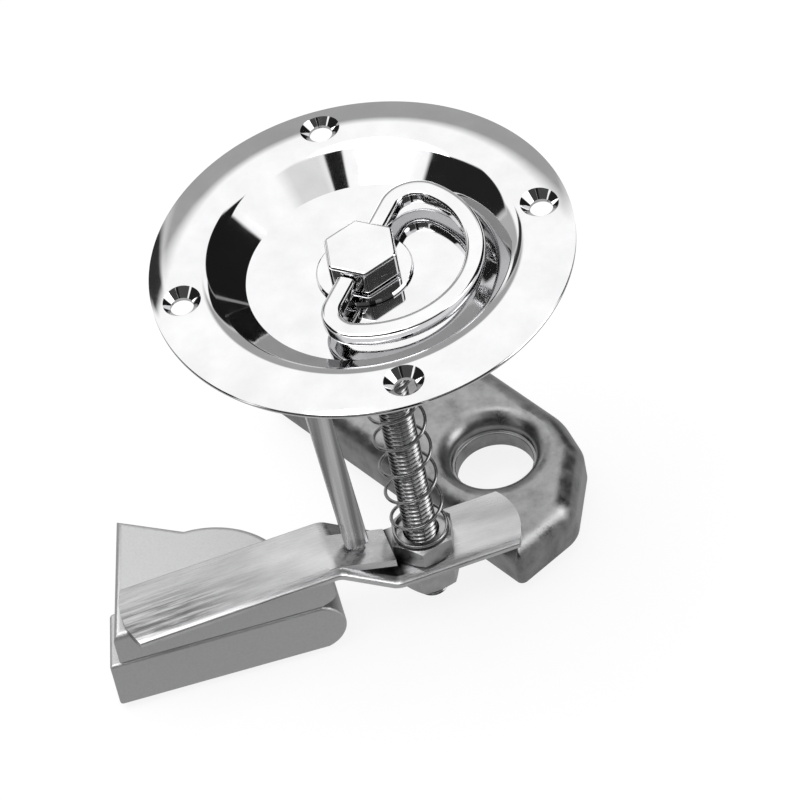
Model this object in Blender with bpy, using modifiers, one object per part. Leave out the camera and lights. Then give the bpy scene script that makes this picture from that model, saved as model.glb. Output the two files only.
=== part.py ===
"""Flush pull latch: a dished round flange with a folding pull ring, a sprung stem and a joggled latch bar,
with the strike plate and the two bearer leaves that the bar presses on.

Metres, +Z up and out of the panel. The origin is the centre of the flange's back face. +X points at the
flange's right-hand screw hole."""

from math import asin, atan2, ceil, cos, pi, radians, sin, sqrt, tan

import bmesh
import bpy
from mathutils import Matrix, Vector

# Fits between pieces
SEAT_GAP = 0.00025
SHAFT_GAP = 0.0003
RING_GAP = 0.0003

# Flange and cup
FLANGE_FACE = 0.0102
FLANGE_THICKNESS = 0.0022
RIM_WIDTH = 0.005
RIM_FALL = 0.001
RIM_ROUND = 0.0004
MOUTH_DIAMETER = 0.0556
LIP_ROUND = 0.0012
CUP_SIDE = 0.0054
CUP_DEPTH = 0.0052
CUP_WALL = 0.002
FLOOR_HOLE_GAP = 0.0015
SCREW_INSET = 0.00505
SCREW_COUNT = 4
SCREW_HOLE = 0.0042
SCREW_SINK = 0.0073

# Washer under the head
WASHER_DIAMETER = 0.0174
WASHER_THICKNESS = 0.0006

# Hexagon head and stem
STEM_DIAMETER = 0.00635
STEM_TAIL = 0.00455
STEM_CHAMFER = 0.0007
HEAD_ACROSS_FLATS = 0.0123
HEAD_HEIGHT = 0.0053
HEAD_ROUND = 0.0004
HEAD_ROOT = 0.001

# Pull ring
PIVOT_ANGLE = radians(53.8)
RING_WIDTH = 0.0035
RING_THICKNESS = 0.003
RING_ROUND = 0.0006
RING_CORNER = 0.005
RING_MOUTH_GAP = 0.00555
RING_BOW_SHIFT = 0.0026
PIVOT_RISE = 0.0026
PIN_DIAMETER = 0.0026
PIN_LENGTH = 0.0025

# Return spring
WIRE_DIAMETER = 0.00065
SPRING_SEAT = 0.000675
SPRING_TURNS = 9.1
SPRING_END_TURNS = 0.75
SPRING_START_ANGLE = radians(-4.5)
SPRING_POINTS_PER_TURN = 14

# Nuts
NUT_ACROSS_FLATS = 0.0111
UPPER_NUT_HEIGHT = 0.0043
LOWER_NUT_HEIGHT = 0.0055
NUT_CHAMFER = 0.0005
UPPER_NUT_ANGLE = radians(-11.2)
LOWER_NUT_ANGLE = radians(-21.5)

# Latch bar
LIFT_TRAVEL = 0.012
BAR_ANGLE = radians(4.5)
BAR_DEPTH = 0.0776
BAR_WIDTH = 0.0142
BAR_THICKNESS = 0.0017
BAR_JOGGLE = 0.008
BAR_LONG_REACH = 0.0583
BAR_SHORT_REACH = 0.0186
BAR_LONG_END_RADIUS = 0.016
BAR_SHORT_END_RADIUS = 0.0125
JOGGLE_START = 0.0175
JOGGLE_NUT_GAP = 0.00089
JOGGLE_BEND = 0.0025

# Tongue left standing over the joggle
TONGUE_NEAR = 0.0054
TONGUE_FAR = 0.003
TONGUE_DROP = 0.0034
TONGUE_SLIT = 0.0004

# Stop leg
LEG_WIDTH = 0.0045
LEG_THICKNESS = 0.003
LEG_ROUND = 0.0007
LEG_REACH = 0.0125
LEG_OFFSET = -0.0006
LEG_LEAN = radians(2.6)
LEG_LIFT_GAP = 0.0009
TENON_WIDTH = 0.0026
TENON_THICKNESS = 0.0014

# Strike plate, in its own directions: along, towards the nose, and across
STRIKE_ANGLE = radians(-60.3)
STRIKE_SIDE = 0.0106
STRIKE_NOSE = 0.0136
STRIKE_TAIL = 0.058
STRIKE_CORNER = 0.0013
STRIKE_NOSE_FLAT = 0.0148
STRIKE_SLANT_ALONG = 0.0102
STRIKE_SLANT_ACROSS = 0.0136
STRIKE_SHOULDER = 0.0084
STRIKE_SHOULDER_ACROSS = 0.0024
STRIKE_NOSE_ROUND = 0.007
STRIKE_SLANT_ROUND = 0.005
STRIKE_SHOULDER_ROUND = 0.012
STRIKE_SHEET = 0.0034
STRIKE_HEIGHT = 0.0094
STRIKE_BEND = 0.0032
STRIKE_HOLE_ALONG = -0.0087
STRIKE_HOLE_SHIFT = 0.0003
STRIKE_HOLE = 0.015
STRIKE_HOLE_MOUTH = 0.024
STRIKE_HOLE_DIP = 0.0026

# Bearer leaves
LEAF_NOSE_GAP = 0.0015
LEAF_NEAR = 0.007
LEAF_CUT_ANGLE = radians(-11)
UPPER_LEAF_THICKNESS = 0.0076
UPPER_LEAF_LENGTH = 0.0425
UPPER_LEAF_ROUND = 0.0014
UPPER_LEAF_CORNER = 0.0008
UPPER_LEAF_FAR_CORNER = 0.0032
UPPER_LEAF_NOSE_WIDTH = 0.0085
UPPER_LEAF_NOSE_LEAN = 0.0008
UPPER_LEAF_TOE = 0.0034
UPPER_LEAF_TOE_RISE = 0.0014
UPPER_LEAF_TOE_ROUND = 0.0006
UPPER_LEAF_LOBE_RADIUS = 0.0176
UPPER_LEAF_LOBE_BACK = 0.0244
UPPER_LEAF_LOBE_ACROSS = 0.004
UPPER_LEAF_FAR_SLOPE = radians(-30.5)
LOWER_LEAF_THICKNESS = 0.0113
LOWER_LEAF_FAR = 0.006
LOWER_LEAF_NOSE_LEAD = 0.0012
LOWER_LEAF_NOSE_EXTRA = 0.00025
LOWER_LEAF_LENGTH = 0.045
LOWER_LEAF_ROUND = 0.0004

# Sizes that follow from the ones above
FLANGE_DIAMETER = MOUTH_DIAMETER + 2 * FLANGE_FACE
FLOOR_DIAMETER = MOUTH_DIAMETER - 2 * CUP_SIDE
SCREW_CIRCLE = MOUTH_DIAMETER + 2 * SCREW_INSET
FLOOR_HOLE = STEM_DIAMETER + 2 * FLOOR_HOLE_GAP
SPRING_DIAMETER = FLOOR_HOLE + 2 * SPRING_SEAT
RING_BOW = MOUTH_DIAMETER / 2 - RING_MOUTH_GAP - RING_WIDTH / 2
RING_BOW_RADIUS = RING_BOW - RING_BOW_SHIFT
NUT_CORNER = NUT_ACROSS_FLATS / 2 / cos(pi / 6)
JOGGLE_END = NUT_CORNER + JOGGLE_NUT_GAP
STRIKE_WIDTH = STRIKE_NOSE_FLAT + STRIKE_SLANT_ACROSS + STRIKE_SHOULDER_ACROSS
STRIKE_HOLE_ACROSS = STRIKE_SIDE + STRIKE_WIDTH / 2 - STRIKE_HOLE_SHIFT
LEAF_NOSE = JOGGLE_START + LEAF_NOSE_GAP
LOWER_LEAF_NOSE_ROUND = LOWER_LEAF_THICKNESS / 2 + LOWER_LEAF_NOSE_EXTRA

# Levels, measured from the flange's back face
FLOOR_LEVEL = FLANGE_THICKNESS - CUP_DEPTH
CUP_UNDERSIDE = FLOOR_LEVEL - CUP_WALL
WASHER_LEVEL = FLOOR_LEVEL + SEAT_GAP
HEAD_LEVEL = WASHER_LEVEL + WASHER_THICKNESS + SEAT_GAP
PIVOT_LEVEL = HEAD_LEVEL + PIVOT_RISE
BAR_TOP = -BAR_DEPTH
BAR_UNDERSIDE = BAR_TOP - BAR_THICKNESS
UPPER_NUT_LEVEL = BAR_TOP + SEAT_GAP
LOWER_NUT_LEVEL = BAR_UNDERSIDE - SEAT_GAP - LOWER_NUT_HEIGHT
STEM_TIP = LOWER_NUT_LEVEL - STEM_TAIL
LONG_ARM_TOP = BAR_TOP + BAR_JOGGLE
STRIKE_TOP = BAR_UNDERSIDE - SEAT_GAP
UPPER_LEAF_TOP = LONG_ARM_TOP - BAR_THICKNESS - SEAT_GAP
LOWER_LEAF_TOP = UPPER_LEAF_TOP - UPPER_LEAF_THICKNESS - SEAT_GAP
LEG_TOP = CUP_UNDERSIDE - LIFT_TRAVEL - LEG_LIFT_GAP

# How finely round shapes are divided
FLANGE_STEPS = 72
HOLE_STEPS = 28
STEM_STEPS = 24


def clear_scene():
    for obj in list(bpy.data.objects):
        bpy.data.objects.remove(obj, do_unlink=True)


def new_collection(name):
    collection = bpy.data.collections.new(name)
    bpy.context.scene.collection.children.link(collection)
    return collection


def new_material(name, colour, roughness, metallic=1.0):
    material = bpy.data.materials.new(name)
    material.use_nodes = True
    shader = material.node_tree.nodes["Principled BSDF"]
    shader.inputs["Base Color"].default_value = (*colour, 1.0)
    shader.inputs["Roughness"].default_value = roughness
    shader.inputs["Metallic"].default_value = metallic
    return material


def link_mesh(name, mesh, collection):
    obj = bpy.data.objects.new(name, mesh)
    collection.objects.link(obj)
    return obj


def as_cutter(obj):
    obj.hide_render = True
    obj.display_type = "WIRE"
    return obj


def finish(obj, material):
    obj.data.materials.clear()
    obj.data.materials.append(material)
    if obj.type == "MESH":
        obj.data.shade_smooth()
        obj.data.set_sharp_from_angle(angle=radians(35))
    return obj


def boolean(obj, other, operation):
    modifier = obj.modifiers.new(other.name, "BOOLEAN")
    modifier.operation = operation
    modifier.solver = "EXACT"
    modifier.object = other
    return modifier


def bevel(obj, width, segments=2, angle=radians(40)):
    modifier = obj.modifiers.new("rounded edges", "BEVEL")
    modifier.width = width
    modifier.segments = segments
    modifier.limit_method = "ANGLE"
    modifier.angle_limit = angle
    return modifier


def bevel_top(obj, width, segments):
    """Rounds only the edges round the top face."""
    mesh = obj.data
    top = max(vertex.co.z for vertex in mesh.vertices)
    weight = mesh.attributes.new("bevel_weight_edge", "FLOAT", "EDGE")
    for edge in mesh.edges:
        level = min(mesh.vertices[index].co.z for index in edge.vertices)
        weight.data[edge.index].value = 1.0 if level > top - 0.000001 else 0.0
    modifier = bevel(obj, width, segments)
    modifier.limit_method = "WEIGHT"
    return modifier


def turned(name, profile, steps, collection, closed=True):
    """A profile of (radius, height) pairs turned about Z. It runs outwards over the top and down the outside."""
    mesh = bpy.data.meshes.new(name)
    bm = bmesh.new()
    points = [bm.verts.new((radius, 0, height)) for radius, height in profile]
    pairs = zip(points, points[1:] + points[:1]) if closed else zip(points, points[1:])
    for first, second in pairs:
        bm.edges.new((first, second))
    bm.to_mesh(mesh)
    bm.free()
    obj = link_mesh(name, mesh, collection)
    screw = obj.modifiers.new("turned", "SCREW")
    screw.steps = steps
    screw.render_steps = steps
    screw.use_merge_vertices = not closed
    screw.merge_threshold = 0.00001
    return obj


def meshed(curve_object):
    """The curve as a welded mesh object in its place."""
    bpy.context.view_layer.update()
    graph = bpy.context.evaluated_depsgraph_get()
    mesh = bpy.data.meshes.new_from_object(curve_object.evaluated_get(graph))
    bm = bmesh.new()
    bm.from_mesh(mesh)
    bmesh.ops.remove_doubles(bm, verts=bm.verts, dist=0.000001)
    bmesh.ops.dissolve_limit(bm, angle_limit=radians(0.5), verts=bm.verts, edges=bm.edges)
    bmesh.ops.recalc_face_normals(bm, faces=bm.faces)
    bm.to_mesh(mesh)
    bm.free()
    name = curve_object.name
    collection = curve_object.users_collection[0]
    place = curve_object.matrix_world.copy()
    bpy.data.objects.remove(curve_object, do_unlink=True)
    mesh.name = name
    obj = link_mesh(name, mesh, collection)
    obj.matrix_world = place
    return obj


def plate(name, outline, low, high, collection):
    """A flat outline standing from low to high."""
    curve = bpy.data.curves.new(name, "CURVE")
    curve.dimensions = "2D"
    curve.fill_mode = "BOTH"
    curve.extrude = (high - low) / 2
    spline = curve.splines.new("POLY")
    spline.points.add(len(outline) - 1)
    for point, (x, y) in zip(spline.points, outline):
        point.co = (x, y, 0, 1)
    spline.use_cyclic_u = True
    obj = bpy.data.objects.new(name, curve)
    obj.location.z = (high + low) / 2
    collection.objects.link(obj)
    return meshed(obj)


def side_plate(name, outline, near, far, angle, collection):
    """An outline of (reach, height) pairs, as wide as from near to far across the direction of angle."""
    obj = plate(name, outline, -far, -near, collection)
    across = obj.location.z
    obj.rotation_euler = (pi / 2, 0, angle)
    obj.location = (across * sin(angle), -across * cos(angle), 0)
    return obj


def round_bar(name, diameter, length, steps, collection):
    """A cylinder about Z, standing on its own origin."""
    mesh = bpy.data.meshes.new(name)
    bm = bmesh.new()
    radius = diameter / 2
    bmesh.ops.create_cone(
        bm, cap_ends=True, segments=steps, radius1=radius, radius2=radius, depth=length,
        matrix=Matrix.Translation((0, 0, length / 2)),
    )
    bm.to_mesh(mesh)
    bm.free()
    return link_mesh(name, mesh, collection)


def block(name, size, collection):
    """A box about its own origin."""
    mesh = bpy.data.meshes.new(name)
    bm = bmesh.new()
    bmesh.ops.create_cube(bm, size=1)
    bmesh.ops.scale(bm, vec=size, verts=bm.verts)
    bm.to_mesh(mesh)
    bm.free()
    return link_mesh(name, mesh, collection)


def arc(centre, radius, start, end, steps):
    """Points along an arc, both ends included."""
    angles = [start + (end - start) * step / steps for step in range(steps + 1)]
    return [(centre[0] + radius * cos(a), centre[1] + radius * sin(a)) for a in angles]


def filleted(corners):
    """An outline of (x, y, radius) corners, each rounded by its radius."""
    points = []
    count = len(corners)
    for index, (x, y, radius) in enumerate(corners):
        here = Vector((x, y))
        if radius <= 0:
            points.append((x, y))
            continue
        back = (Vector(corners[index - 1][:2]) - here).normalized()
        ahead = (Vector(corners[(index + 1) % count][:2]) - here).normalized()
        half = back.angle(ahead) / 2
        centre = here + (back + ahead).normalized() * radius / sin(half)
        start = here + back * radius / tan(half) - centre
        end = here + ahead * radius / tan(half) - centre
        turn = atan2(start.x * end.y - start.y * end.x, start.dot(end))
        first = atan2(start.y, start.x)
        steps = max(2, ceil(abs(turn) / radians(20)))
        points += arc(centre, radius, first, first + turn, steps)
    return points


def cup_profile():
    radius = FLANGE_DIAMETER / 2
    mouth = MOUTH_DIAMETER / 2
    floor = FLOOR_DIAMETER / 2
    bore = FLOOR_HOLE / 2
    wall_run = mouth - LIP_ROUND - floor
    wall_rise = CUP_DEPTH - LIP_ROUND
    profile = [(bore, FLOOR_LEVEL)]
    for step in range(6):
        turn = pi / 2 * step / 5
        profile.append((floor + wall_run * sin(turn), FLOOR_LEVEL + wall_rise * (1 - cos(turn))))
    profile += arc((mouth, FLANGE_THICKNESS - LIP_ROUND), LIP_ROUND, pi, pi / 2, 4)[1:]
    for step in range(5):
        share = step / 4
        profile.append((radius - RIM_WIDTH * (1 - share), FLANGE_THICKNESS - RIM_FALL * share**2))
    profile += [(radius, RIM_ROUND), (radius - RIM_ROUND, 0)]
    back_run = mouth + CUP_WALL - LIP_ROUND / 2 - floor
    for step in range(6):
        turn = pi / 2 * (1 - step / 5)
        profile.append((floor + back_run * sin(turn), CUP_UNDERSIDE * cos(turn)))
    profile.append((bore, CUP_UNDERSIDE))
    return profile


def screw_cutter(index, cutters):
    """A countersunk hole's tool, standing through the flange."""
    hole = SCREW_HOLE / 2
    sink = SCREW_SINK / 2
    over = FLANGE_THICKNESS / 2
    top = FLANGE_THICKNESS + over
    profile = [
        (0, top),
        (sink + over, top),
        (hole, FLANGE_THICKNESS - (sink - hole)),
        (hole, -over),
        (0, -over),
    ]
    cutter = turned(f"screw_hole_tool_{index + 1}", profile, HOLE_STEPS, cutters, closed=False)
    turn = 2 * pi * index / SCREW_COUNT
    cutter.location = (SCREW_CIRCLE / 2 * cos(turn), SCREW_CIRCLE / 2 * sin(turn), 0)
    return as_cutter(cutter)


def make_cup(parts, cutters, material):
    cup = turned("cup_flange", cup_profile(), FLANGE_STEPS, parts)
    for index in range(SCREW_COUNT):
        boolean(cup, screw_cutter(index, cutters), "DIFFERENCE")
    return finish(cup, material)


def make_washer(parts, material):
    bore = STEM_DIAMETER / 2 + SHAFT_GAP
    edge = WASHER_DIAMETER / 2
    top = WASHER_LEVEL + WASHER_THICKNESS
    bend = WASHER_THICKNESS / 2
    profile = [(bore, top), (edge - bend, top), (edge, top - bend), (edge, WASHER_LEVEL), (bore, WASHER_LEVEL)]
    return finish(turned("head_washer", profile, 2 * STEM_STEPS, parts), material)


def hexagon(name, across_flats, height, angle, collection):
    """A six-sided bar standing on its own origin, one flat facing along angle."""
    prism = round_bar(name, across_flats / cos(pi / 6), height, 6, collection)
    prism.rotation_euler.z = angle
    return prism


def make_spindle(parts, cutters, material):
    spindle = hexagon("spindle", HEAD_ACROSS_FLATS, HEAD_HEIGHT, PIVOT_ANGLE, parts)
    spindle.location.z = HEAD_LEVEL
    bevel(spindle, HEAD_ROUND, 2)
    radius = STEM_DIAMETER / 2
    root = HEAD_LEVEL + HEAD_ROOT
    tip = STEM_TIP
    profile = [(0, root), (radius, root), (radius, tip + STEM_CHAMFER), (radius - STEM_CHAMFER, tip), (0, tip)]
    stem = as_cutter(turned("stem_core", profile, STEM_STEPS, cutters, closed=False))
    boolean(spindle, stem, "UNION")
    for side in (1, -1):
        boolean(spindle, pivot_tool(side, cutters), "DIFFERENCE")
    return finish(spindle, material)


def pivot_tool(side, cutters):
    """The tool for one blind hole that a ring pin turns in."""
    over = RING_WIDTH
    length = PIN_LENGTH + SEAT_GAP + over
    tool = round_bar(f"pivot_tool_{1 if side > 0 else 2}", PIN_DIAMETER + 2 * RING_GAP, length, 16, cutters)
    inner = HEAD_ACROSS_FLATS / 2 + SEAT_GAP - PIN_LENGTH - SEAT_GAP
    tool.rotation_euler = (0, side * pi / 2, PIVOT_ANGLE)
    tool.location = (side * inner * cos(PIVOT_ANGLE), side * inner * sin(PIVOT_ANGLE), PIVOT_LEVEL)
    return as_cutter(tool)


def ring_line():
    """The ring's centre line from one arm's end to the other, as (along the pivot, away from the bow)."""
    arm = HEAD_ACROSS_FLATS / 2 + SEAT_GAP
    bow_centre = RING_BOW - RING_BOW_RADIUS
    rise = RING_CORNER - bow_centre
    reach = sqrt((RING_BOW_RADIUS - RING_CORNER) ** 2 - rise**2)
    turn = atan2(rise, reach)
    half = [(arm, 0)]
    half += arc((reach, RING_CORNER), RING_CORNER, -pi / 2, turn, 7)
    half += arc((0, bow_centre), RING_BOW_RADIUS, turn, pi / 2, 9)[1:]
    line = half + [(-x, y) for x, y in reversed(half[:-1])]
    return [(x, -y) for x, y in line]


def ring_outline():
    line = [Vector(point) for point in ring_line()]
    half = RING_WIDTH / 2
    outer, inner = [], []
    for index, point in enumerate(line):
        ahead = line[min(index + 1, len(line) - 1)] - line[max(index - 1, 0)]
        normal = Vector((ahead.y, -ahead.x)).normalized()
        outer.append(tuple(point + normal * half))
        inner.append(tuple(point - normal * half))
    return outer + inner[::-1]


def make_ring(parts, cutters, material):
    ring = plate("pull_ring", ring_outline(), -RING_THICKNESS / 2, RING_THICKNESS / 2, parts)
    ring.location = (0, 0, PIVOT_LEVEL)
    ring.rotation_euler.z = PIVOT_ANGLE
    bevel(ring, RING_ROUND, 2, radians(50))
    for side in (1, -1):
        boolean(ring, ring_pin(side, cutters), "UNION")
    return finish(ring, material)


def ring_pin(side, cutters):
    """The round end of one arm, turned to fit the head."""
    root = RING_WIDTH / 2
    pin = round_bar(f"ring_pin_{1 if side > 0 else 2}", PIN_DIAMETER, PIN_LENGTH + root, 16, cutters)
    inner = HEAD_ACROSS_FLATS / 2 + SEAT_GAP - PIN_LENGTH
    pin.rotation_euler = (0, side * pi / 2, PIVOT_ANGLE)
    pin.location = (side * inner * cos(PIVOT_ANGLE), side * inner * sin(PIVOT_ANGLE), PIVOT_LEVEL)
    return as_cutter(pin)


def spring_points():
    """The wire's centre line from the nut up to the cup, with flat end turns."""
    low = UPPER_NUT_LEVEL + UPPER_NUT_HEIGHT + SEAT_GAP + WIRE_DIAMETER / 2
    high = CUP_UNDERSIDE - SEAT_GAP - WIRE_DIAMETER / 2
    radius = (SPRING_DIAMETER - WIRE_DIAMETER) / 2
    turns = SPRING_TURNS + 2 * SPRING_END_TURNS
    count = round(turns * SPRING_POINTS_PER_TURN)
    points = []
    for index in range(count + 1):
        turn = turns * index / count - SPRING_END_TURNS
        share = min(1.0, max(0.0, turn / SPRING_TURNS))
        angle = SPRING_START_ANGLE + 2 * pi * turn
        points.append((radius * cos(angle), radius * sin(angle), low + (high - low) * share))
    return points


def make_spring(parts, material):
    curve = bpy.data.curves.new("return_spring", "CURVE")
    curve.dimensions = "3D"
    curve.bevel_depth = WIRE_DIAMETER / 2
    curve.bevel_resolution = 2
    curve.use_fill_caps = True
    points = spring_points()
    spline = curve.splines.new("POLY")
    spline.points.add(len(points) - 1)
    for point, place in zip(spline.points, points):
        point.co = (*place, 1)
    spring = bpy.data.objects.new("return_spring", curve)
    parts.objects.link(spring)
    return finish(spring, material)


def make_nut(name, level, height, angle, parts, cutters, material):
    nut = hexagon(name, NUT_ACROSS_FLATS, height, angle, parts)
    nut.location.z = level
    corner = NUT_CORNER
    flat = NUT_ACROSS_FLATS / 2
    slope = NUT_CHAMFER / (corner - flat)
    reach = corner + height
    profile = [
        (0, level + height + SEAT_GAP),
        (flat - SEAT_GAP / slope, level + height + SEAT_GAP),
        (reach, level + height - slope * (reach - flat)),
        (reach, level + slope * (reach - flat)),
        (flat - SEAT_GAP / slope, level - SEAT_GAP),
        (0, level - SEAT_GAP),
    ]
    if profile[2][1] <= profile[3][1]:
        middle = level + height / 2
        crest = flat + height / 2 / slope
        profile[2:4] = [(crest, middle)]
    body = as_cutter(turned(f"{name}_chamfer_tool", profile, STEM_STEPS * 2, cutters, closed=False))
    boolean(nut, body, "INTERSECT")
    bore = round_bar(f"{name}_bore_tool", STEM_DIAMETER + 2 * SHAFT_GAP, 3 * height, STEM_STEPS, cutters)
    bore.location.z = level - height
    boolean(nut, as_cutter(bore), "DIFFERENCE")
    return finish(nut, material)


def bar_side():
    """The bar seen from its long edge: the raised long arm, the joggle and the clamped short arm."""
    left = -BAR_LONG_REACH - BAR_WIDTH
    right = BAR_SHORT_REACH + BAR_WIDTH
    sheet = BAR_THICKNESS
    inner = JOGGLE_BEND
    outer = JOGGLE_BEND + sheet
    lean = atan2(BAR_JOGGLE, JOGGLE_START - JOGGLE_END)
    shift = sheet * tan(lean / 2)
    return filleted(
        [
            (left, LONG_ARM_TOP, 0),
            (left, LONG_ARM_TOP - sheet, 0),
            (-JOGGLE_START - shift, LONG_ARM_TOP - sheet, inner),
            (-JOGGLE_END - shift, BAR_UNDERSIDE, outer),
            (right, BAR_UNDERSIDE, 0),
            (right, BAR_TOP, 0),
            (-JOGGLE_END, BAR_TOP, inner),
            (-JOGGLE_START, LONG_ARM_TOP, outer),
        ]
    )


def bar_plan():
    """The bar seen from above, with its two bowed ends."""
    half = BAR_WIDTH / 2
    points = []
    for reach, radius, side in ((BAR_SHORT_REACH, BAR_SHORT_END_RADIUS, 1), (-BAR_LONG_REACH, BAR_LONG_END_RADIUS, -1)):
        sweep = atan2(half, sqrt(radius**2 - half**2))
        centre = (reach - side * radius, 0)
        start = 0 if side > 0 else pi
        points += arc(centre, radius, start - sweep, start + sweep, 8)
    return points


def tongue_level(reach):
    """The tongue's top at a reach along the long arm."""
    start = JOGGLE_START
    end = tongue_end()
    return LONG_ARM_TOP - TONGUE_DROP * (start - reach) / (start - end)


def tongue_end():
    return NUT_CORNER + SEAT_GAP


def tongue_side():
    start = JOGGLE_START
    end = tongue_end()
    root = start + BAR_THICKNESS
    sheet = BAR_THICKNESS
    return [
        (-root, LONG_ARM_TOP),
        (-root, LONG_ARM_TOP - sheet),
        (-start, LONG_ARM_TOP - sheet),
        (-end, tongue_level(end) - sheet),
        (-end, tongue_level(end)),
        (-start, LONG_ARM_TOP),
    ]


def make_bar(parts, cutters, material):
    half = BAR_WIDTH / 2
    bar = side_plate("latch_bar", bar_side(), -half - BAR_THICKNESS, half + BAR_THICKNESS, BAR_ANGLE, parts)
    low = BAR_UNDERSIDE - BAR_JOGGLE
    plan = plate("bar_plan_tool", bar_plan(), low, LONG_ARM_TOP + BAR_JOGGLE, cutters)
    plan.rotation_euler.z = BAR_ANGLE
    boolean(bar, as_cutter(plan), "INTERSECT")
    window = plate("bar_window_tool", bar_window(), low, LONG_ARM_TOP + BAR_JOGGLE, cutters)
    window.rotation_euler.z = BAR_ANGLE
    boolean(bar, as_cutter(window), "DIFFERENCE")
    tongue = side_plate("bar_tongue", tongue_side(), -TONGUE_NEAR, TONGUE_FAR, BAR_ANGLE, cutters)
    boolean(bar, as_cutter(tongue), "UNION")
    boolean(bar, tenon_tool(cutters), "DIFFERENCE")
    bore = round_bar("bar_bore_tool", STEM_DIAMETER + 2 * SHAFT_GAP, 3 * BAR_THICKNESS, STEM_STEPS, cutters)
    bore.location.z = BAR_UNDERSIDE - BAR_THICKNESS
    boolean(bar, as_cutter(bore), "DIFFERENCE")
    return finish(bar, material)


def bar_window():
    near = -TONGUE_NEAR - TONGUE_SLIT
    far = TONGUE_FAR + TONGUE_SLIT
    corner = 3 * TONGUE_SLIT
    start = -JOGGLE_START
    end = -tongue_end()
    return filleted([(start, near, corner), (end, near, corner), (end, far, corner), (start, far, corner)])


def along_bar(reach, offset, level):
    """The point at a reach along the long arm, an offset across it and a level."""
    x = -reach
    return Vector((x * cos(BAR_ANGLE) - offset * sin(BAR_ANGLE), x * sin(BAR_ANGLE) + offset * cos(BAR_ANGLE), level))


def tenon_tool(cutters):
    size = (TENON_WIDTH + 2 * SEAT_GAP, TENON_THICKNESS + 2 * SEAT_GAP, 4 * BAR_THICKNESS)
    tool = block("tenon_tool", size, cutters)
    tool.location = along_bar(LEG_REACH, LEG_OFFSET, tongue_level(LEG_REACH) - BAR_THICKNESS / 2)
    tool.rotation_euler = (0, -LEG_LEAN, BAR_ANGLE)
    return as_cutter(tool)


def make_leg(parts, cutters, material):
    """The stop leg: a strip leaning outwards, with a tenon let into the tongue."""
    slope = TONGUE_DROP / (JOGGLE_START - tongue_end())
    base = tongue_level(LEG_REACH) + SEAT_GAP + slope * LEG_WIDTH / 2
    length = (LEG_TOP - base) / cos(LEG_LEAN)
    leg = block("stop_leg", (LEG_WIDTH, LEG_THICKNESS, length), parts)
    leg.data.transform(Matrix.Translation((0, 0, length / 2)))
    bevel(leg, LEG_ROUND, 2)
    leg.location = along_bar(LEG_REACH, LEG_OFFSET, base)
    leg.rotation_euler = (0, -LEG_LEAN, BAR_ANGLE)
    depth = BAR_THICKNESS + slope * LEG_WIDTH / 2
    tenon = block("leg_tenon", (TENON_WIDTH, TENON_THICKNESS, depth + LEG_WIDTH), cutters)
    tenon.data.transform(Matrix.Translation((0, 0, (LEG_WIDTH - depth) / 2)))
    tenon.location = leg.location
    tenon.rotation_euler = leg.rotation_euler
    boolean(leg, as_cutter(tenon), "UNION")
    return finish(leg, material)


def inset_corners(corners, inset):
    """The corners of an outline that runs anticlockwise, with each side moved inwards by inset."""
    moved = []
    count = len(corners)
    for index, (x, y, radius) in enumerate(corners):
        here = Vector((x, y))
        into = (here - Vector(corners[index - 1][:2])).normalized()
        away = (Vector(corners[(index + 1) % count][:2]) - here).normalized()
        inner_into = Vector((-into.y, into.x))
        inner_away = Vector((-away.y, away.x))
        shift = (inner_into + inner_away) / (1 + inner_into.dot(inner_away)) * inset
        moved.append((x + shift.x, y + shift.y, max(radius - inset, radius / 5)))
    return moved


def strike_corners(tail):
    """The strike plate seen from above, in its own directions along and across."""
    side = STRIKE_SIDE
    far = side + STRIKE_WIDTH
    nose = STRIKE_NOSE
    flat_end = side + STRIKE_NOSE_FLAT
    slant = (nose - STRIKE_SLANT_ALONG, flat_end + STRIKE_SLANT_ACROSS)
    return [
        (-tail, side, 0),
        (nose, side, STRIKE_CORNER),
        (nose, flat_end, STRIKE_NOSE_ROUND),
        (*slant, STRIKE_SLANT_ROUND),
        (slant[0] - STRIKE_SHOULDER, far, STRIKE_SHOULDER_ROUND),
        (-tail, far, 0),
    ]


def make_strike(parts, cutters, material):
    foot = STRIKE_TOP - STRIKE_HEIGHT
    strike = plate("strike_plate", filleted(strike_corners(STRIKE_TAIL)), foot, STRIKE_TOP, parts)
    strike.rotation_euler.z = STRIKE_ANGLE
    bevel_top(strike, STRIKE_BEND, 4)
    hollow = plate(
        "strike_hollow_tool", filleted(inset_corners(strike_corners(STRIKE_TAIL + 2 * STRIKE_SHEET), STRIKE_SHEET)),
        foot - STRIKE_SHEET, STRIKE_TOP - STRIKE_SHEET, cutters,
    )
    hollow.rotation_euler.z = STRIKE_ANGLE
    boolean(strike, as_cutter(hollow), "DIFFERENCE")
    boolean(strike, strike_hole_tool(cutters), "DIFFERENCE")
    return finish(strike, material)


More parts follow.
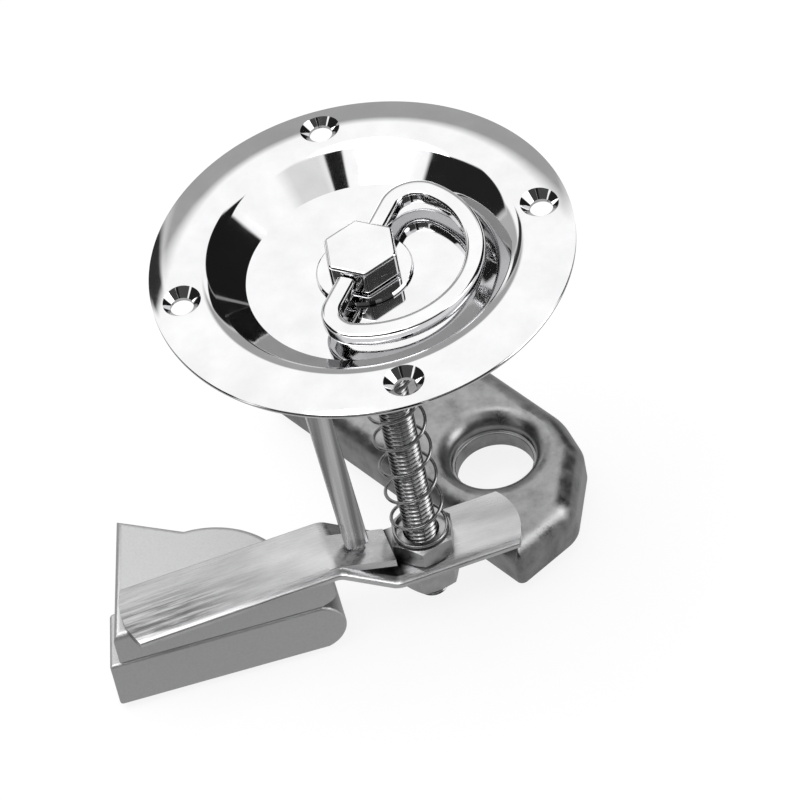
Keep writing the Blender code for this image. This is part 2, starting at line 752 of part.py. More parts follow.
def strike_hole_tool(cutters):
    hole = STRIKE_HOLE / 2
    mouth = STRIKE_HOLE_MOUTH / 2
    over = STRIKE_SHEET
    profile = [(0, STRIKE_TOP + over), (mouth, STRIKE_TOP + over), (mouth, STRIKE_TOP)]
    for step in range(1, 5):
        turn = pi / 2 * step / 4
        profile.append((mouth - (mouth - hole) * sin(turn), STRIKE_TOP - STRIKE_HOLE_DIP * (1 - cos(turn))))
    profile += [(hole, STRIKE_TOP - STRIKE_SHEET - over), (0, STRIKE_TOP - STRIKE_SHEET - over)]
    tool = turned("strike_hole_tool", profile, HOLE_STEPS + 8, cutters, closed=False)
    along, across = STRIKE_HOLE_ALONG, STRIKE_HOLE_ACROSS
    tool.location.x = along * cos(STRIKE_ANGLE) - across * sin(STRIKE_ANGLE)
    tool.location.y = along * sin(STRIKE_ANGLE) + across * cos(STRIKE_ANGLE)
    return as_cutter(tool)


def upper_leaf_outline():
    """The upper leaf seen from above: a straight near edge, and a far edge with one round lobe."""
    near = -LEAF_NEAR
    nose = UPPER_LEAF_NOSE_LEAN - LEAF_NOSE
    tail = nose - UPPER_LEAF_LENGTH
    far = near + UPPER_LEAF_NOSE_WIDTH
    lobe = (nose - UPPER_LEAF_LOBE_BACK, near + UPPER_LEAF_LOBE_ACROSS)
    radius = UPPER_LEAF_LOBE_RADIUS
    notch = (lobe[0], lobe[1] + radius)
    depth = notch[1] - near + (notch[0] - tail) * tan(-UPPER_LEAF_FAR_SLOPE)
    cut = depth * tan(-LEAF_CUT_ANGLE)
    far_tail = (tail + cut, notch[1] - (notch[0] - tail - cut) * tan(UPPER_LEAF_FAR_SLOPE))
    reach = nose - UPPER_LEAF_FAR_CORNER - lobe[0]
    leave = atan2(sqrt(max(radius**2 - min(reach, radius * 0.9) ** 2, 0)), min(reach, radius * 0.9))
    lobe_arc = arc(lobe, radius, leave, pi / 2, 8)
    front = filleted([(tail, near, 0), (nose, near, UPPER_LEAF_CORNER), (nose, far, UPPER_LEAF_FAR_CORNER), (*lobe_arc[0], 0)])
    return front[:-1] + lobe_arc + [far_tail]


def make_upper_leaf(parts, cutters, material):
    """The upper leaf, its nose leaning back and its underside rising towards the tip."""
    low = UPPER_LEAF_TOP - UPPER_LEAF_THICKNESS
    leaf = plate("upper_leaf", upper_leaf_outline(), low, UPPER_LEAF_TOP, parts)
    bevel_top(leaf, UPPER_LEAF_ROUND, 3)
    over = UPPER_LEAF_THICKNESS
    back = -LEAF_NOSE - UPPER_LEAF_LENGTH - over
    tip = UPPER_LEAF_NOSE_LEAN - LEAF_NOSE
    side = filleted(
        [
            (back, low, 0),
            (tip - UPPER_LEAF_TOE, low, 0),
            (tip, low + UPPER_LEAF_TOE_RISE, UPPER_LEAF_TOE_ROUND),
            (-LEAF_NOSE, UPPER_LEAF_TOP, 0),
            (-LEAF_NOSE, UPPER_LEAF_TOP + over, 0),
            (back, UPPER_LEAF_TOP + over, 0),
        ]
    )
    tool = side_plate("upper_leaf_side_tool", side, -LEAF_NEAR - over, UPPER_LEAF_LENGTH, 0, cutters)
    boolean(leaf, as_cutter(tool), "INTERSECT")
    return finish(leaf, material)


def make_lower_leaf(parts, cutters, material):
    """The lower leaf: a deep bar that ends in a round nose."""
    near = -LEAF_NEAR
    nose = LOWER_LEAF_NOSE_LEAD - LEAF_NOSE
    tail_near = nose - LOWER_LEAF_LENGTH
    depth = LEAF_NEAR + LOWER_LEAF_FAR
    tail_far = tail_near - depth * tan(LEAF_CUT_ANGLE)
    low = LOWER_LEAF_TOP - LOWER_LEAF_THICKNESS
    over = LOWER_LEAF_THICKNESS / 2
    front = nose + over
    plan = [(tail_near, near), (front, near), (front, LOWER_LEAF_FAR), (tail_far, LOWER_LEAF_FAR)]
    back = tail_near - over
    middle = (low + LOWER_LEAF_TOP) / 2
    sweep = asin(over / LOWER_LEAF_NOSE_ROUND)
    tip = arc((nose - LOWER_LEAF_NOSE_ROUND, middle), LOWER_LEAF_NOSE_ROUND, -sweep, sweep, 12)
    side = [(back, low), *tip, (back, LOWER_LEAF_TOP)]
    leaf = side_plate("lower_leaf", side, near - over, LOWER_LEAF_FAR + over, 0, parts)
    tool = plate("lower_leaf_plan_tool", plan, low - over, LOWER_LEAF_TOP + over, cutters)
    boolean(leaf, as_cutter(tool), "INTERSECT")
    bevel(leaf, LOWER_LEAF_ROUND, 2, radians(60))
    return finish(leaf, material)


def main():
    clear_scene()
    parts = new_collection("flush_pull_latch")
    cutters = new_collection("cutters")
    chrome = new_material("mirror chrome", (0.80, 0.80, 0.81), 0.06)
    steel = new_material("bright steel", (0.62, 0.62, 0.63), 0.22)
    nut_steel = new_material("nut steel", (0.45, 0.45, 0.46), 0.35)
    bar_steel = new_material("brushed bar steel", (0.60, 0.60, 0.61), 0.30)
    wire = new_material("spring wire", (0.66, 0.66, 0.67), 0.20)
    cast = new_material("matt pressed steel", (0.40, 0.40, 0.41), 0.50)
    make_cup(parts, cutters, chrome)
    make_washer(parts, chrome)
    make_spindle(parts, cutters, steel)
    make_ring(parts, cutters, chrome)
    make_spring(parts, wire)
    make_nut("upper_nut", UPPER_NUT_LEVEL, UPPER_NUT_HEIGHT, UPPER_NUT_ANGLE, parts, cutters, nut_steel)
    make_nut("lower_nut", LOWER_NUT_LEVEL, LOWER_NUT_HEIGHT, LOWER_NUT_ANGLE, parts, cutters, nut_steel)
    make_bar(parts, cutters, bar_steel)
    make_leg(parts, cutters, nut_steel)
    make_strike(parts, cutters, cast)
    make_upper_leaf(parts, cutters, cast)
    make_lower_leaf(parts, cutters, cast)


main()
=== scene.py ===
"""Looks of the flush pull latch, laid out as a Blender add-on. Metres, in the same frame as the solids."""

from math import asin, atan2, ceil, copysign, cos, pi, radians, sin, sqrt, tan

import bmesh
import bpy
from mathutils import Matrix, Vector


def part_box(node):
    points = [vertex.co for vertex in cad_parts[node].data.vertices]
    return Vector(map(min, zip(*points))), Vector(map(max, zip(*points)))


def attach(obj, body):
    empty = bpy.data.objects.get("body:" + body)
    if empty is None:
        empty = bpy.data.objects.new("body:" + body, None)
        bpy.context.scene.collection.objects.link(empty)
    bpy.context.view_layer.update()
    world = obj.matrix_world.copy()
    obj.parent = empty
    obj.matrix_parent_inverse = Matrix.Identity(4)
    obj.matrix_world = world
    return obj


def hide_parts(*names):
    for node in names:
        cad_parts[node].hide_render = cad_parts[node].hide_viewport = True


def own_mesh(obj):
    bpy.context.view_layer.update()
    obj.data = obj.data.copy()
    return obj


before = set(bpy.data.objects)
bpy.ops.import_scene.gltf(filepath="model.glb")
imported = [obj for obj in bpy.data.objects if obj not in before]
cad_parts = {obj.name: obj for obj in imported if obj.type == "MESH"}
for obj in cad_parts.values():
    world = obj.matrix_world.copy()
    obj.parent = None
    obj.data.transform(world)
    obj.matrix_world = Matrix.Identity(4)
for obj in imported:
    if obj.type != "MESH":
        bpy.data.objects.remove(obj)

bl_info = {
    "name": "Flush pull latch",
    "version": (1, 0, 0),
    "blender": (4, 5, 0),
    "location": "3D View > Sidebar > Latch",
    "description": "Makes the visible pieces of a flush pull latch, its finishes and its stage",
    "category": "Object",
}


WHITE = (1.0, 1.0, 1.0, 1.0)
# Blue over red and green in every grey, for a faintly cool metal
COOLNESS = 1.01
SCREW_HOLES = 4


def position(name, description, default, **limits):
    """A place in metres along an axis."""
    return bpy.props.FloatProperty(
        name=name,
        description=description,
        default=default,
        precision=5,
        subtype="DISTANCE",
        unit="LENGTH",
        **limits,
    )


def length(name, description, default):
    """A size in metres."""
    return position(name, description, default, min=0.0)


def turn(name, description, degrees):
    """An angle."""
    return bpy.props.FloatProperty(
        name=name,
        description=description,
        default=radians(degrees),
        precision=3,
        subtype="ANGLE",
        unit="ROTATION",
    )


def number(name, description, default, least=0.0):
    """A plain number."""
    return bpy.props.FloatProperty(name=name, description=description, default=default, min=least)


def grey(name, description, value):
    """A neutral colour."""
    return bpy.props.FloatVectorProperty(
        name=name,
        description=description,
        default=(value, value, value * COOLNESS),
        min=0.0,
        max=1.0,
        subtype="COLOR",
    )


class CupSizes(bpy.types.PropertyGroup):
    """Sizes of the dished flange"""

    mouth: length("Mouth", "Width of the dish at its mouth", 0.0556)
    face: length("Face", "Width of the flange outside the dish", 0.0102)
    thickness: length("Thickness", "Height of the flange's face over the panel", 0.0022)
    rim: length("Rim", "Width of the band that falls towards the edge", 0.0065)
    fall: length("Rim fall", "How far the rim falls", 0.0008)
    lip: length("Lip", "How far the dish's curve runs out over the face", 0.0017)
    lip_round: length("Lip rounding", "Radius of the curve from the face into the dish", 0.0046)
    side: length("Side", "Width of the dish's sloped side inside its mouth", 0.0065)
    depth: length("Depth", "Depth of the dish under the face", 0.0051)
    wall: length("Wall", "Thickness of the pressed sheet", 0.002)
    hole: length("Floor hole", "Width of the hole in the dish's floor", 0.00935)
    screw_inset: length("Screw inset", "Screw holes' distance outside the mouth", 0.00505)
    screw_hole: length("Screw hole", "Width of a screw hole", 0.0042)
    screw_sink: length("Screw sink", "Width of a screw hole's countersink", 0.0073)


class RingSizes(bpy.types.PropertyGroup):
    """Sizes of the pull ring"""

    angle: turn("Pivot direction", "Direction of the ring's hinge line", 53.8)
    width: length("Width", "Width of the ring's bar seen from above", 0.0035)
    thickness: length("Thickness", "Thickness of the ring's bar", 0.003)
    corner: length("Corner", "Radius where an arm turns into the bow", 0.005)
    bow: length("Bow", "Distance from the stem's axis to the bow", 0.0205)
    bow_radius: length("Bow radius", "Radius of the bow", 0.0179)
    pin: length("Pin", "Width of the pins that turn in the head", 0.0026)
    pin_length: length("Pin length", "Length of a pin inside the head", 0.0025)
    clearance: length("Clearance", "Gap round a pin in the head", 0.0003)
    arm_gap: length("Arm gap", "Distance from the head's side to where an arm starts", 0.00025)
    shoulder: length("Shoulder", "Length of one of the steps from pin to arm", 0.0001)
    squareness: number("Squareness", "How much squarer than round the bar's section is", 2.6)
    level: position("Pivot level", "Height of the hinge line", 0.0007)


class StemSizes(bpy.types.PropertyGroup):
    """Sizes of the head and the threaded stem"""

    head: length("Head", "Head's width across its flats", 0.0123)
    head_height: length("Head height", "Height of the head", 0.0053)
    head_round: length("Head rounding", "Rounding of the head's edges", 0.0007)
    width: length("Stem", "Width of the stem over its thread", 0.00635)
    pitch: length("Pitch", "Distance between two turns of the thread", 0.0011)
    thread: length("Thread depth", "Depth of the thread", 0.0006)
    groove: number("Groove", "Width of the thread's groove over its pitch", 0.8)
    chamfer: length("Chamfer", "Chamfer of the stem's lower end", 0.0007)
    overlap: length("Overlap", "How far the stem runs up into the head", 0.0005)


class SpringSizes(bpy.types.PropertyGroup):
    """Sizes of the return spring"""

    wire: length("Wire", "Thickness of the wire", 0.00065)
    width: length("Width", "Outside width of the coil", 0.0107)
    turns: number("Turns", "Open turns of the coil", 9.1, least=1.0)
    end_turns: number("End turns", "Flat part of a turn at each end", 0.75)
    start: turn("Start", "Direction in which the first turn starts", -4.5)


class BarSizes(bpy.types.PropertyGroup):
    """Sizes of the joggled latch bar"""

    angle: turn("Direction", "Turn of the bar about the stem", 4.5)
    depth: length("Depth", "Short arm's top under the flange's back", 0.0776)
    width: length("Width", "Width of the bar", 0.0142)
    sheet: length("Sheet", "Thickness of the bar", 0.0017)
    edge: length("Edge", "Rounding of the sheet's edges", 0.00025)
    joggle: length("Joggle", "Rise from the short arm to the long arm", 0.008)
    long_reach: length("Long reach", "Length of the long arm", 0.0583)
    short_reach: length("Short reach", "Length of the short arm", 0.0186)
    long_end: length("Long end", "Radius of the long arm's end", 0.016)
    short_end: length("Short end", "Radius of the short arm's end", 0.0125)
    start: length("Joggle start", "Where the long arm starts to fall", 0.0175)
    end: length("Joggle end", "Where the short arm starts", 0.0073)
    bend: length("Bend", "Inner radius of the bends", 0.0025)
    roll: length("Edge roll", "Width over which the near long edge rolls down", 0.0034)
    roll_drop: length("Roll drop", "How far the near long edge rolls down", 0.00085)
    crown: length("Crown", "Height of the bar's middle over its far long edge", 0.00022)
    tongue_near: length("Tongue near", "Tongue's near side from the middle line", 0.0054)
    tongue_far: length("Tongue far", "Tongue's far side from the middle line", 0.003)
    tongue_drop: length("Tongue drop", "How far the tongue's tip falls", 0.0034)
    tongue_gap: length("Tongue gap", "Distance from the nut's corners to the tongue", 0.00025)
    nut: length("Nut", "Width of the nuts across their flats", 0.0111)
    bore: length("Bore", "Width of the hole for the stem", 0.00695)


class StrikeSizes(bpy.types.PropertyGroup):
    """Sizes of the strike plate, along and across its own direction"""

    angle: turn("Direction", "Direction in which the nose points", -60.3)
    side: length("Side", "Near side's distance from the stem's axis", 0.0106)
    nose: length("Nose", "Nose's distance along the plate", 0.0136)
    tail: length("Tail", "Tail's distance along the plate", 0.058)
    nose_flat: length("Nose flat", "Width of the nose's straight front", 0.0148)
    slant_along: length("Slant along", "Length of the slanted side", 0.0102)
    slant_across: length("Slant across", "Width of the slanted side", 0.0127)
    shoulder: length("Shoulder", "Length of the shoulder", 0.0084)
    shoulder_across: length("Shoulder across", "Width of the shoulder", 0.003)
    height: length("Height", "Height of the channel", 0.0094)
    sheet: length("Sheet", "Thickness of the plate", 0.0034)
    bend: length("Bend", "Outer rounding of the bend", 0.0048)
    hole: length("Hole", "Width of the drawn hole", 0.015)
    mouth: length("Hole mouth", "Width over the drawn hole's rounding", 0.024)
    dip: length("Hole dip", "Depth of the drawn hole's rounding", 0.003)
    ledge: length("Ledge", "Width of the step inside the hole", 0.0007)
    collar: length("Collar", "How far the drawn collar reaches under the top", 0.0072)
    collar_wall: length("Collar wall", "Thickness of the drawn collar outside the ledge", 0.00204)
    collar_edge: length("Collar edge", "Chamfer of the collar's lower edge", 0.0005)
    hole_along: position("Hole along", "Hole's place along the plate", -0.0087)
    hole_across: length("Hole across", "Hole's place across the plate", 0.0257)
    near_corner: length("Near corner", "Radius of the nose's near corner", 0.0013)
    far_corner: length("Far corner", "Radius of the nose's far corner", 0.007)
    slant_corner: length("Slant corner", "Radius where the slanted side ends", 0.005)
    shoulder_corner: length("Shoulder corner", "Radius where the shoulder ends", 0.012)


class LeafSizes(bpy.types.PropertyGroup):
    """Sizes of the two bearer leaves"""

    near: length("Near side", "Near side's distance from the stem's axis", 0.007)
    nose: length("Nose", "Upper nose's distance from the stem's axis", 0.019)
    cut: turn("Cut", "Slant of the cut ends", -11)
    upper_reach: length("Upper length", "Length of the upper leaf", 0.0425)
    nose_width: length("Nose width", "Width of the upper leaf's nose", 0.0085)
    near_corner: length("Near corner", "Radius of the nose's near corner", 0.0019)
    far_corner: length("Far corner", "Radius of the nose's far corner", 0.0032)
    lean: length("Lean", "How far the upper nose leans back", 0.0008)
    toe: length("Toe", "Length of the upper leaf's rising underside", 0.0034)
    toe_rise: length("Toe rise", "Rise of the upper leaf's underside at the tip", 0.0014)
    toe_corner: length("Toe corner", "Radius where the underside starts to rise", 0.002)
    tip_corner: length("Tip corner", "Radius of the tip over the rising underside", 0.0006)
    round: length("Rounding", "Rounding of the upper leaf's top edges", 0.0014)
    edge: length("Edges", "Rounding of the upper leaf's other edges", 0.0006)
    lobe: length("Lobe", "Radius of the lobe on the far side", 0.0176)
    lobe_back: length("Lobe back", "Lobe's distance behind the nose", 0.0244)
    lobe_across: length("Lobe across", "Lobe's centre from the near side", 0.004)
    lobe_start: turn("Lobe start", "Direction from the lobe's centre in which its arc starts", 25.84193)
    slope: turn("Far slope", "Slope of the far side behind the lobe", -30.5)
    lower_reach: length("Lower length", "Length of the lower leaf", 0.045)
    lower_far: length("Lower far side", "Lower leaf's far side from the stem's axis", 0.006)
    lower_lead: length("Lower lead", "How far the lower nose stands in front of the upper one", 0.0012)
    lower_extra: length("Lower nose", "Lower nose's radius over half the leaf's thickness", 0.00025)
    lower_edge: length("Lower edges", "Rounding of the lower leaf's edges", 0.0007)
    gap: length("Gap", "Extra gap between the two leaves", 0.0003)


class Finishes(bpy.types.PropertyGroup):
    """Colours of the finishes"""

    chrome: grey("Mirror", "Mirror-polished flange, ring and head", 0.675)
    bright: grey("Bright", "Stem and spring", 0.33)
    plain: grey("Plain", "Nuts", 0.42)
    leg: grey("Drawn", "Stop leg", 0.62)
    satin: grey("Satin", "Latch bar", 0.56)
    pressed: grey("Pressed", "Strike plate", 0.3)
    cast: grey("Cast", "Bearer leaves", 0.54)


class StageSettings(bpy.types.PropertyGroup):
    """Floor, lamps and camera"""

    floor: position("Floor level", "Height of the floor", -0.0925)
    floor_reach: length("Floor reach", "Distance from the floor's middle to its sides", 3.0)
    floor_paint: number("Floor paint", "Brightness of the floor's paint", 0.95)
    floor_glow: number("Floor glow", "Share of even white in the floor", 0.86)
    floor_mirrored: number("Mirrored floor", "Brightness of the floor as polished metal shows it", 0.52)
    lens: bpy.props.FloatProperty(
        name="Lens",
        description="Focal length of the camera",
        default=230.3,
        unit="CAMERA",
    )
    room: number("Room", "Brightness of the white room", 1.42)


def settings():
    """The scene, which holds every group of sizes."""
    return bpy.context.scene


# Meshes


def new_object(name, mesh):
    obj = bpy.data.objects.new(name, mesh)
    bpy.context.scene.collection.objects.link(obj)
    return obj


def new_piece(name, points, faces):
    mesh = bpy.data.meshes.new(name)
    mesh.from_pydata([tuple(point) for point in points], [], faces)
    mesh.validate()
    bm = bmesh.new()
    bm.from_mesh(mesh)
    bmesh.ops.recalc_face_normals(bm, faces=bm.faces)
    bm.to_mesh(mesh)
    bm.free()
    return new_object(name, mesh)


def rings(name, loops, closed=False):
    """A tube through loops of points that all have the same count. An open tube gets flat ends."""
    count = len(loops[0])
    points = [point for loop in loops for point in loop]
    faces = []
    pairs = len(loops) if closed else len(loops) - 1
    for row in range(pairs):
        here = row * count
        there = (row + 1) % len(loops) * count
        for column in range(count):
            after = (column + 1) % count
            faces.append((here + column, here + after, there + after, there + column))
    if not closed:
        faces.append(tuple(range(count)))
        faces.append(tuple((len(loops) - 1) * count + column for column in range(count)))
    return new_piece(name, points, faces)


def shares(steps):
    """Even steps from 0 to 1, both included."""
    return [step / steps for step in range(steps + 1)]


def directions(steps):
    """Even directions all the way round."""
    return [2 * pi * step / steps for step in range(steps)]


def turned(name, profile, steps):
    """A closed profile of (radius, height) pairs turned about Z."""
    loops = []
    for angle in directions(steps):
        loops.append([(radius * cos(angle), radius * sin(angle), height) for radius, height in profile])
    return rings(name, loops, closed=True)


def turned_solid(name, profile, steps):
    """A profile whose first and last points lie on the axis, turned about Z."""
    loops = []
    for radius, height in profile[1:-1]:
        loops.append([(radius * cos(angle), radius * sin(angle), height) for angle in directions(steps)])
    return rings(name, loops)


def prism(name, outline, low, high):
    """An outline standing from low to high."""
    return rings(name, [[(x, y, low) for x, y in outline], [(x, y, high) for x, y in outline]])


def hexagon(name, across_flats, low, high, angle):
    """A six-sided bar with one flat facing along angle."""
    corner = across_flats / 2 / cos(pi / 6)
    turns = [angle + pi / 6 + pi / 3 * step for step in range(6)]
    return prism(name, [(corner * cos(t), corner * sin(t)) for t in turns], low, high)


def arc(centre, radius, start, end, steps):
    """Points along an arc, both ends included."""
    angles = [start + (end - start) * share for share in shares(steps)]
    return [(centre[0] + radius * cos(angle), centre[1] + radius * sin(angle)) for angle in angles]


def filleted(corners, finest=radians(6)):
    """An outline of (x, y, radius) corners, each rounded by its radius."""
    points = []
    count = len(corners)
    for index, (x, y, radius) in enumerate(corners):
        here = Vector((x, y))
        if radius <= 0:
            points.append((x, y))
            continue
        back = (Vector(corners[index - 1][:2]) - here).normalized()
        ahead = (Vector(corners[(index + 1) % count][:2]) - here).normalized()
        half = back.angle(ahead) / 2
        centre = here + (back + ahead).normalized() * radius / sin(half)
        start = here + back * radius / tan(half) - centre
        end = here + ahead * radius / tan(half) - centre
        sweep = atan2(start.x * end.y - start.y * end.x, start.dot(end))
        first = atan2(start.y, start.x)
        points += arc(centre, radius, first, first + sweep, max(3, ceil(abs(sweep) / finest)))
    return points


def rotated(outline, angle):
    """An outline turned about the origin."""
    return [(x * cos(angle) - y * sin(angle), x * sin(angle) + y * cos(angle)) for x, y in outline]


def neighbours(line, index):
    """The points before and after one on a line, or that one itself at the line's ends."""
    return line[max(index - 1, 0)], line[min(index + 1, len(line) - 1)]


def settled(obj):
    """Turns the modifiers' result into the object's own mesh."""
    bpy.context.view_layer.update()
    graph = bpy.context.evaluated_depsgraph_get()
    mesh = bpy.data.meshes.new_from_object(obj.evaluated_get(graph))
    obj.modifiers.clear()
    obj.data = mesh
    return obj


def joined(obj, other, operation):
    """Adds, cuts or keeps what other covers, and removes other."""
    modifier = obj.modifiers.new(other.name, "BOOLEAN")
    modifier.operation = operation
    modifier.solver = "EXACT"
    modifier.object = other
    settled(obj)
    bpy.data.objects.remove(other, do_unlink=True)
    return obj


def rounded(obj, width, segments=3, angle=radians(35)):
    modifier = obj.modifiers.new("rounded edges", "BEVEL")
    modifier.width = width
    modifier.segments = segments
    modifier.limit_method = "ANGLE"
    modifier.angle_limit = angle
    modifier.use_clamp_overlap = True
    return obj


def rounded_level(obj, level, width, segments):
    """Rounds only the edges that lie at one level."""
    tolerance = 0.000001
    weight = obj.data.attributes.new("bevel_weight_edge", "FLOAT", "EDGE")
    for edge in obj.data.edges:
        flat = all(abs(obj.data.vertices[index].co.z - level) < tolerance for index in edge.vertices)
        weight.data[edge.index].value = 1.0 if flat else 0.0
    modifier = obj.modifiers.new("rounded edges", "BEVEL")
    modifier.width = width
    modifier.segments = segments
    modifier.limit_method = "WEIGHT"
    return obj


def dressed(obj, body, material, slot, *nodes, angle=radians(32)):
    """Smooths a piece, gives it its finish and its body, and hides the solids that it stands for."""
    obj.data.materials.clear()
    obj.data.materials.append(material)
    obj.data.shade_smooth()
    obj.data.set_sharp_from_angle(angle=angle)
    weighted = obj.modifiers.new("even shading", "WEIGHTED_NORMAL")
    weighted.keep_sharp = True
    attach(obj, body)
    if nodes:
        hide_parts(*nodes)
    return obj


# Finishes


def plugged(tree, socket, value):
    """Gives a socket another one's result or a plain value."""
    if isinstance(value, bpy.types.NodeSocket):
        tree.links.new(value, socket)
    else:
        socket.default_value = value


def calculated(tree, operation, *values):
    """The result of one sum on results or plain numbers."""
    node = tree.nodes.new("ShaderNodeMath")
    node.operation = operation
    for socket, value in zip(node.inputs, values):
        plugged(tree, socket, value)
    return node.outputs[0]


def product(tree, result, *values):
    """Several values multiplied."""
    for value in values:
        result = calculated(tree, "MULTIPLY", result, value)
    return result


def mixed(tree, amount, first, second):
    """Two colours mixed."""
    mix = tree.nodes.new("ShaderNodeMix")
    mix.data_type = "RGBA"
    tree.links.new(amount, mix.inputs["Factor"])
    plugged(tree, mix.inputs["A"], first)
    plugged(tree, mix.inputs["B"], second)
    return mix.outputs["Result"]


def split(tree, vector):
    """The three numbers of a vector."""
    parts = tree.nodes.new("ShaderNodeSeparateXYZ")
    tree.links.new(vector, parts.inputs["Vector"])
    return parts.outputs


def metal(name, colour, roughness):
    """A bare metal's material, its tree and its shader."""
    material = bpy.data.materials.get(name) or bpy.data.materials.new(name)
    material.use_nodes = True
    tree = material.node_tree
    tree.nodes.clear()
    shader = tree.nodes.new("ShaderNodeBsdfPrincipled")
    shader.inputs["Base Color"].default_value = (*colour, 1.0)
    shader.inputs["Metallic"].default_value = 1.0
    shader.inputs["Roughness"].default_value = roughness
    output = tree.nodes.new("ShaderNodeOutputMaterial")
    tree.links.new(shader.outputs["BSDF"], output.inputs["Surface"])
    return material, tree, shader


def surface_place(tree, scale=(1, 1, 1), angle=0.0):
    """Places on the object, stretched and turned."""
    place = tree.nodes.new("ShaderNodeTexCoord")
    mapping = tree.nodes.new("ShaderNodeMapping")
    mapping.vector_type = "TEXTURE"
    mapping.inputs["Rotation"].default_value = (0, 0, angle)
    mapping.inputs["Scale"].default_value = scale
    tree.links.new(place.outputs["Object"], mapping.inputs["Vector"])
    return mapping.outputs["Vector"]


def clouds(tree, place, scale, detail=4.0, rough=0.55):
    """Soft random patches from 0 to 1."""
    noise = tree.nodes.new("ShaderNodeTexNoise")
    noise.inputs["Scale"].default_value = scale
    noise.inputs["Detail"].default_value = detail
    noise.inputs["Roughness"].default_value = rough
    tree.links.new(place, noise.inputs["Vector"])
    return noise.outputs["Fac"]


def ramped(tree, value, low, high, at_low, at_high):
    """A value between two limits as a value between two others."""
    ranged = tree.nodes.new("ShaderNodeMapRange")
    ranged.inputs["From Min"].default_value = low
    ranged.inputs["From Max"].default_value = high
    ranged.inputs["To Min"].default_value = at_low
    ranged.inputs["To Max"].default_value = at_high
    tree.links.new(value, ranged.inputs["Value"])
    return ranged.outputs["Result"]


def shade(colour, factor):
    """A colour made darker or lighter."""
    return (*[min(1.0, value * factor) for value in colour], 1.0)


def toned(tree, value, colour, dark, light, low=0.3, high=0.7):
    """A colour that follows a value from a darker to a lighter shade."""
    amount = ramped(tree, value, low, high, at_low=0.0, at_high=1.0)
    return mixed(tree, amount, shade(colour, dark), shade(colour, light))


def painted(tree, shader, tone):
    tree.links.new(tone, shader.inputs["Base Color"])


def rubbed(tree, shader, value, smooth, rough, low=0.3, high=0.7):
    """Roughness that follows a value."""
    tree.links.new(ramped(tree, value, low, high, smooth, rough), shader.inputs["Roughness"])


def bumped(tree, shader, height, strength, distance):
    """Relief that follows a value."""
    bump = tree.nodes.new("ShaderNodeBump")
    bump.inputs["Strength"].default_value = strength
    bump.inputs["Distance"].default_value = distance
    tree.links.new(height, bump.inputs["Height"])
    tree.links.new(bump.outputs["Normal"], shader.inputs["Normal"])


def mirror_chrome():
    """Buffed plate: faint haze in patches and the slight waviness of a pressing."""
    colour = settings().latch_finishes.chrome
    material, tree, shader = metal("mirror_chrome", colour, roughness=0.04)
    place = surface_place(tree)
    haze = clouds(tree, place, scale=140.0, detail=5.0)
    waves = clouds(tree, place, scale=95.0, detail=2.0)
    rubbed(tree, shader, haze, smooth=0.03, rough=0.085, low=0.35, high=0.75)
    painted(tree, shader, toned(tree, haze, colour, dark=0.93, light=1.04))
    bumped(tree, shader, waves, strength=0.12, distance=0.0001)
    return material


def bright_steel():
    """Bright drawn steel with fine drawing marks."""
    colour = settings().latch_finishes.bright
    material, tree, shader = metal("bright_steel", colour, roughness=0.22)
    marks = clouds(tree, surface_place(tree, (1, 1, 12)), scale=1600.0, detail=3.0)
    rubbed(tree, shader, marks, smooth=0.12, rough=0.26)
    painted(tree, shader, toned(tree, marks, colour, dark=0.82, light=1.1))
    return material


def plain_steel():
    """Mill-finished steel: cloudy tone and shallow pitting."""
    colour = settings().latch_finishes.plain
    material, tree, shader = metal("plain_steel", colour, roughness=0.3)
    place = surface_place(tree)
    cloud = clouds(tree, place, scale=420.0, detail=6.0)
    pits = clouds(tree, place, scale=1500.0, detail=3.0)
    rubbed(tree, shader, cloud, smooth=0.22, rough=0.42)
    painted(tree, shader, toned(tree, cloud, colour, dark=0.82, light=1.15))
    bumped(tree, shader, pits, strength=0.15, distance=0.0001)
    return material


def drawn_leg():
    """Bright drawn strip: light and dark bands that run along it."""
    colour = settings().latch_finishes.leg
    material, tree, shader = metal("drawn_leg", colour, roughness=0.25)
    bands = clouds(tree, surface_place(tree, (1, 1, 60)), scale=520.0, detail=2.0)
    fine = clouds(tree, surface_place(tree, (1, 1, 12)), scale=1600.0, detail=3.0)
    rubbed(tree, shader, fine, smooth=0.18, rough=0.34)
    painted(tree, shader, toned(tree, bands, colour, dark=0.4, light=1.25, low=0.38, high=0.6))
    bumped(tree, shader, bands, strength=0.2, distance=0.0002)
    return material


def bar_scratches_and_shade(tree, s, along, across):
    """Dark scratches over a broad painted shade on the near half of the long arm's end."""
    reach, width = s.long_reach, s.width
    outer = ramped(tree, along, -0.8 * reach, -0.5 * reach, at_low=1.0, at_high=0.0)
    near = ramped(tree, across, -0.1 * width, 0.45 * width, at_low=1.0, at_high=0.0)
    inside = ramped(tree, across, -0.49 * width, -0.42 * width, at_low=0.0, at_high=1.0)
    streaks = clouds(tree, surface_place(tree, (18, 1, 1), s.angle), scale=1500.0, rough=0.7)
    # Never below 0.25, so the whole patch is painted shade, with the scratches darker still
    patches = ramped(tree, streaks, low=0.36, high=0.58, at_low=0.25, at_high=1.0)
    return product(tree, outer, near, inside, patches)


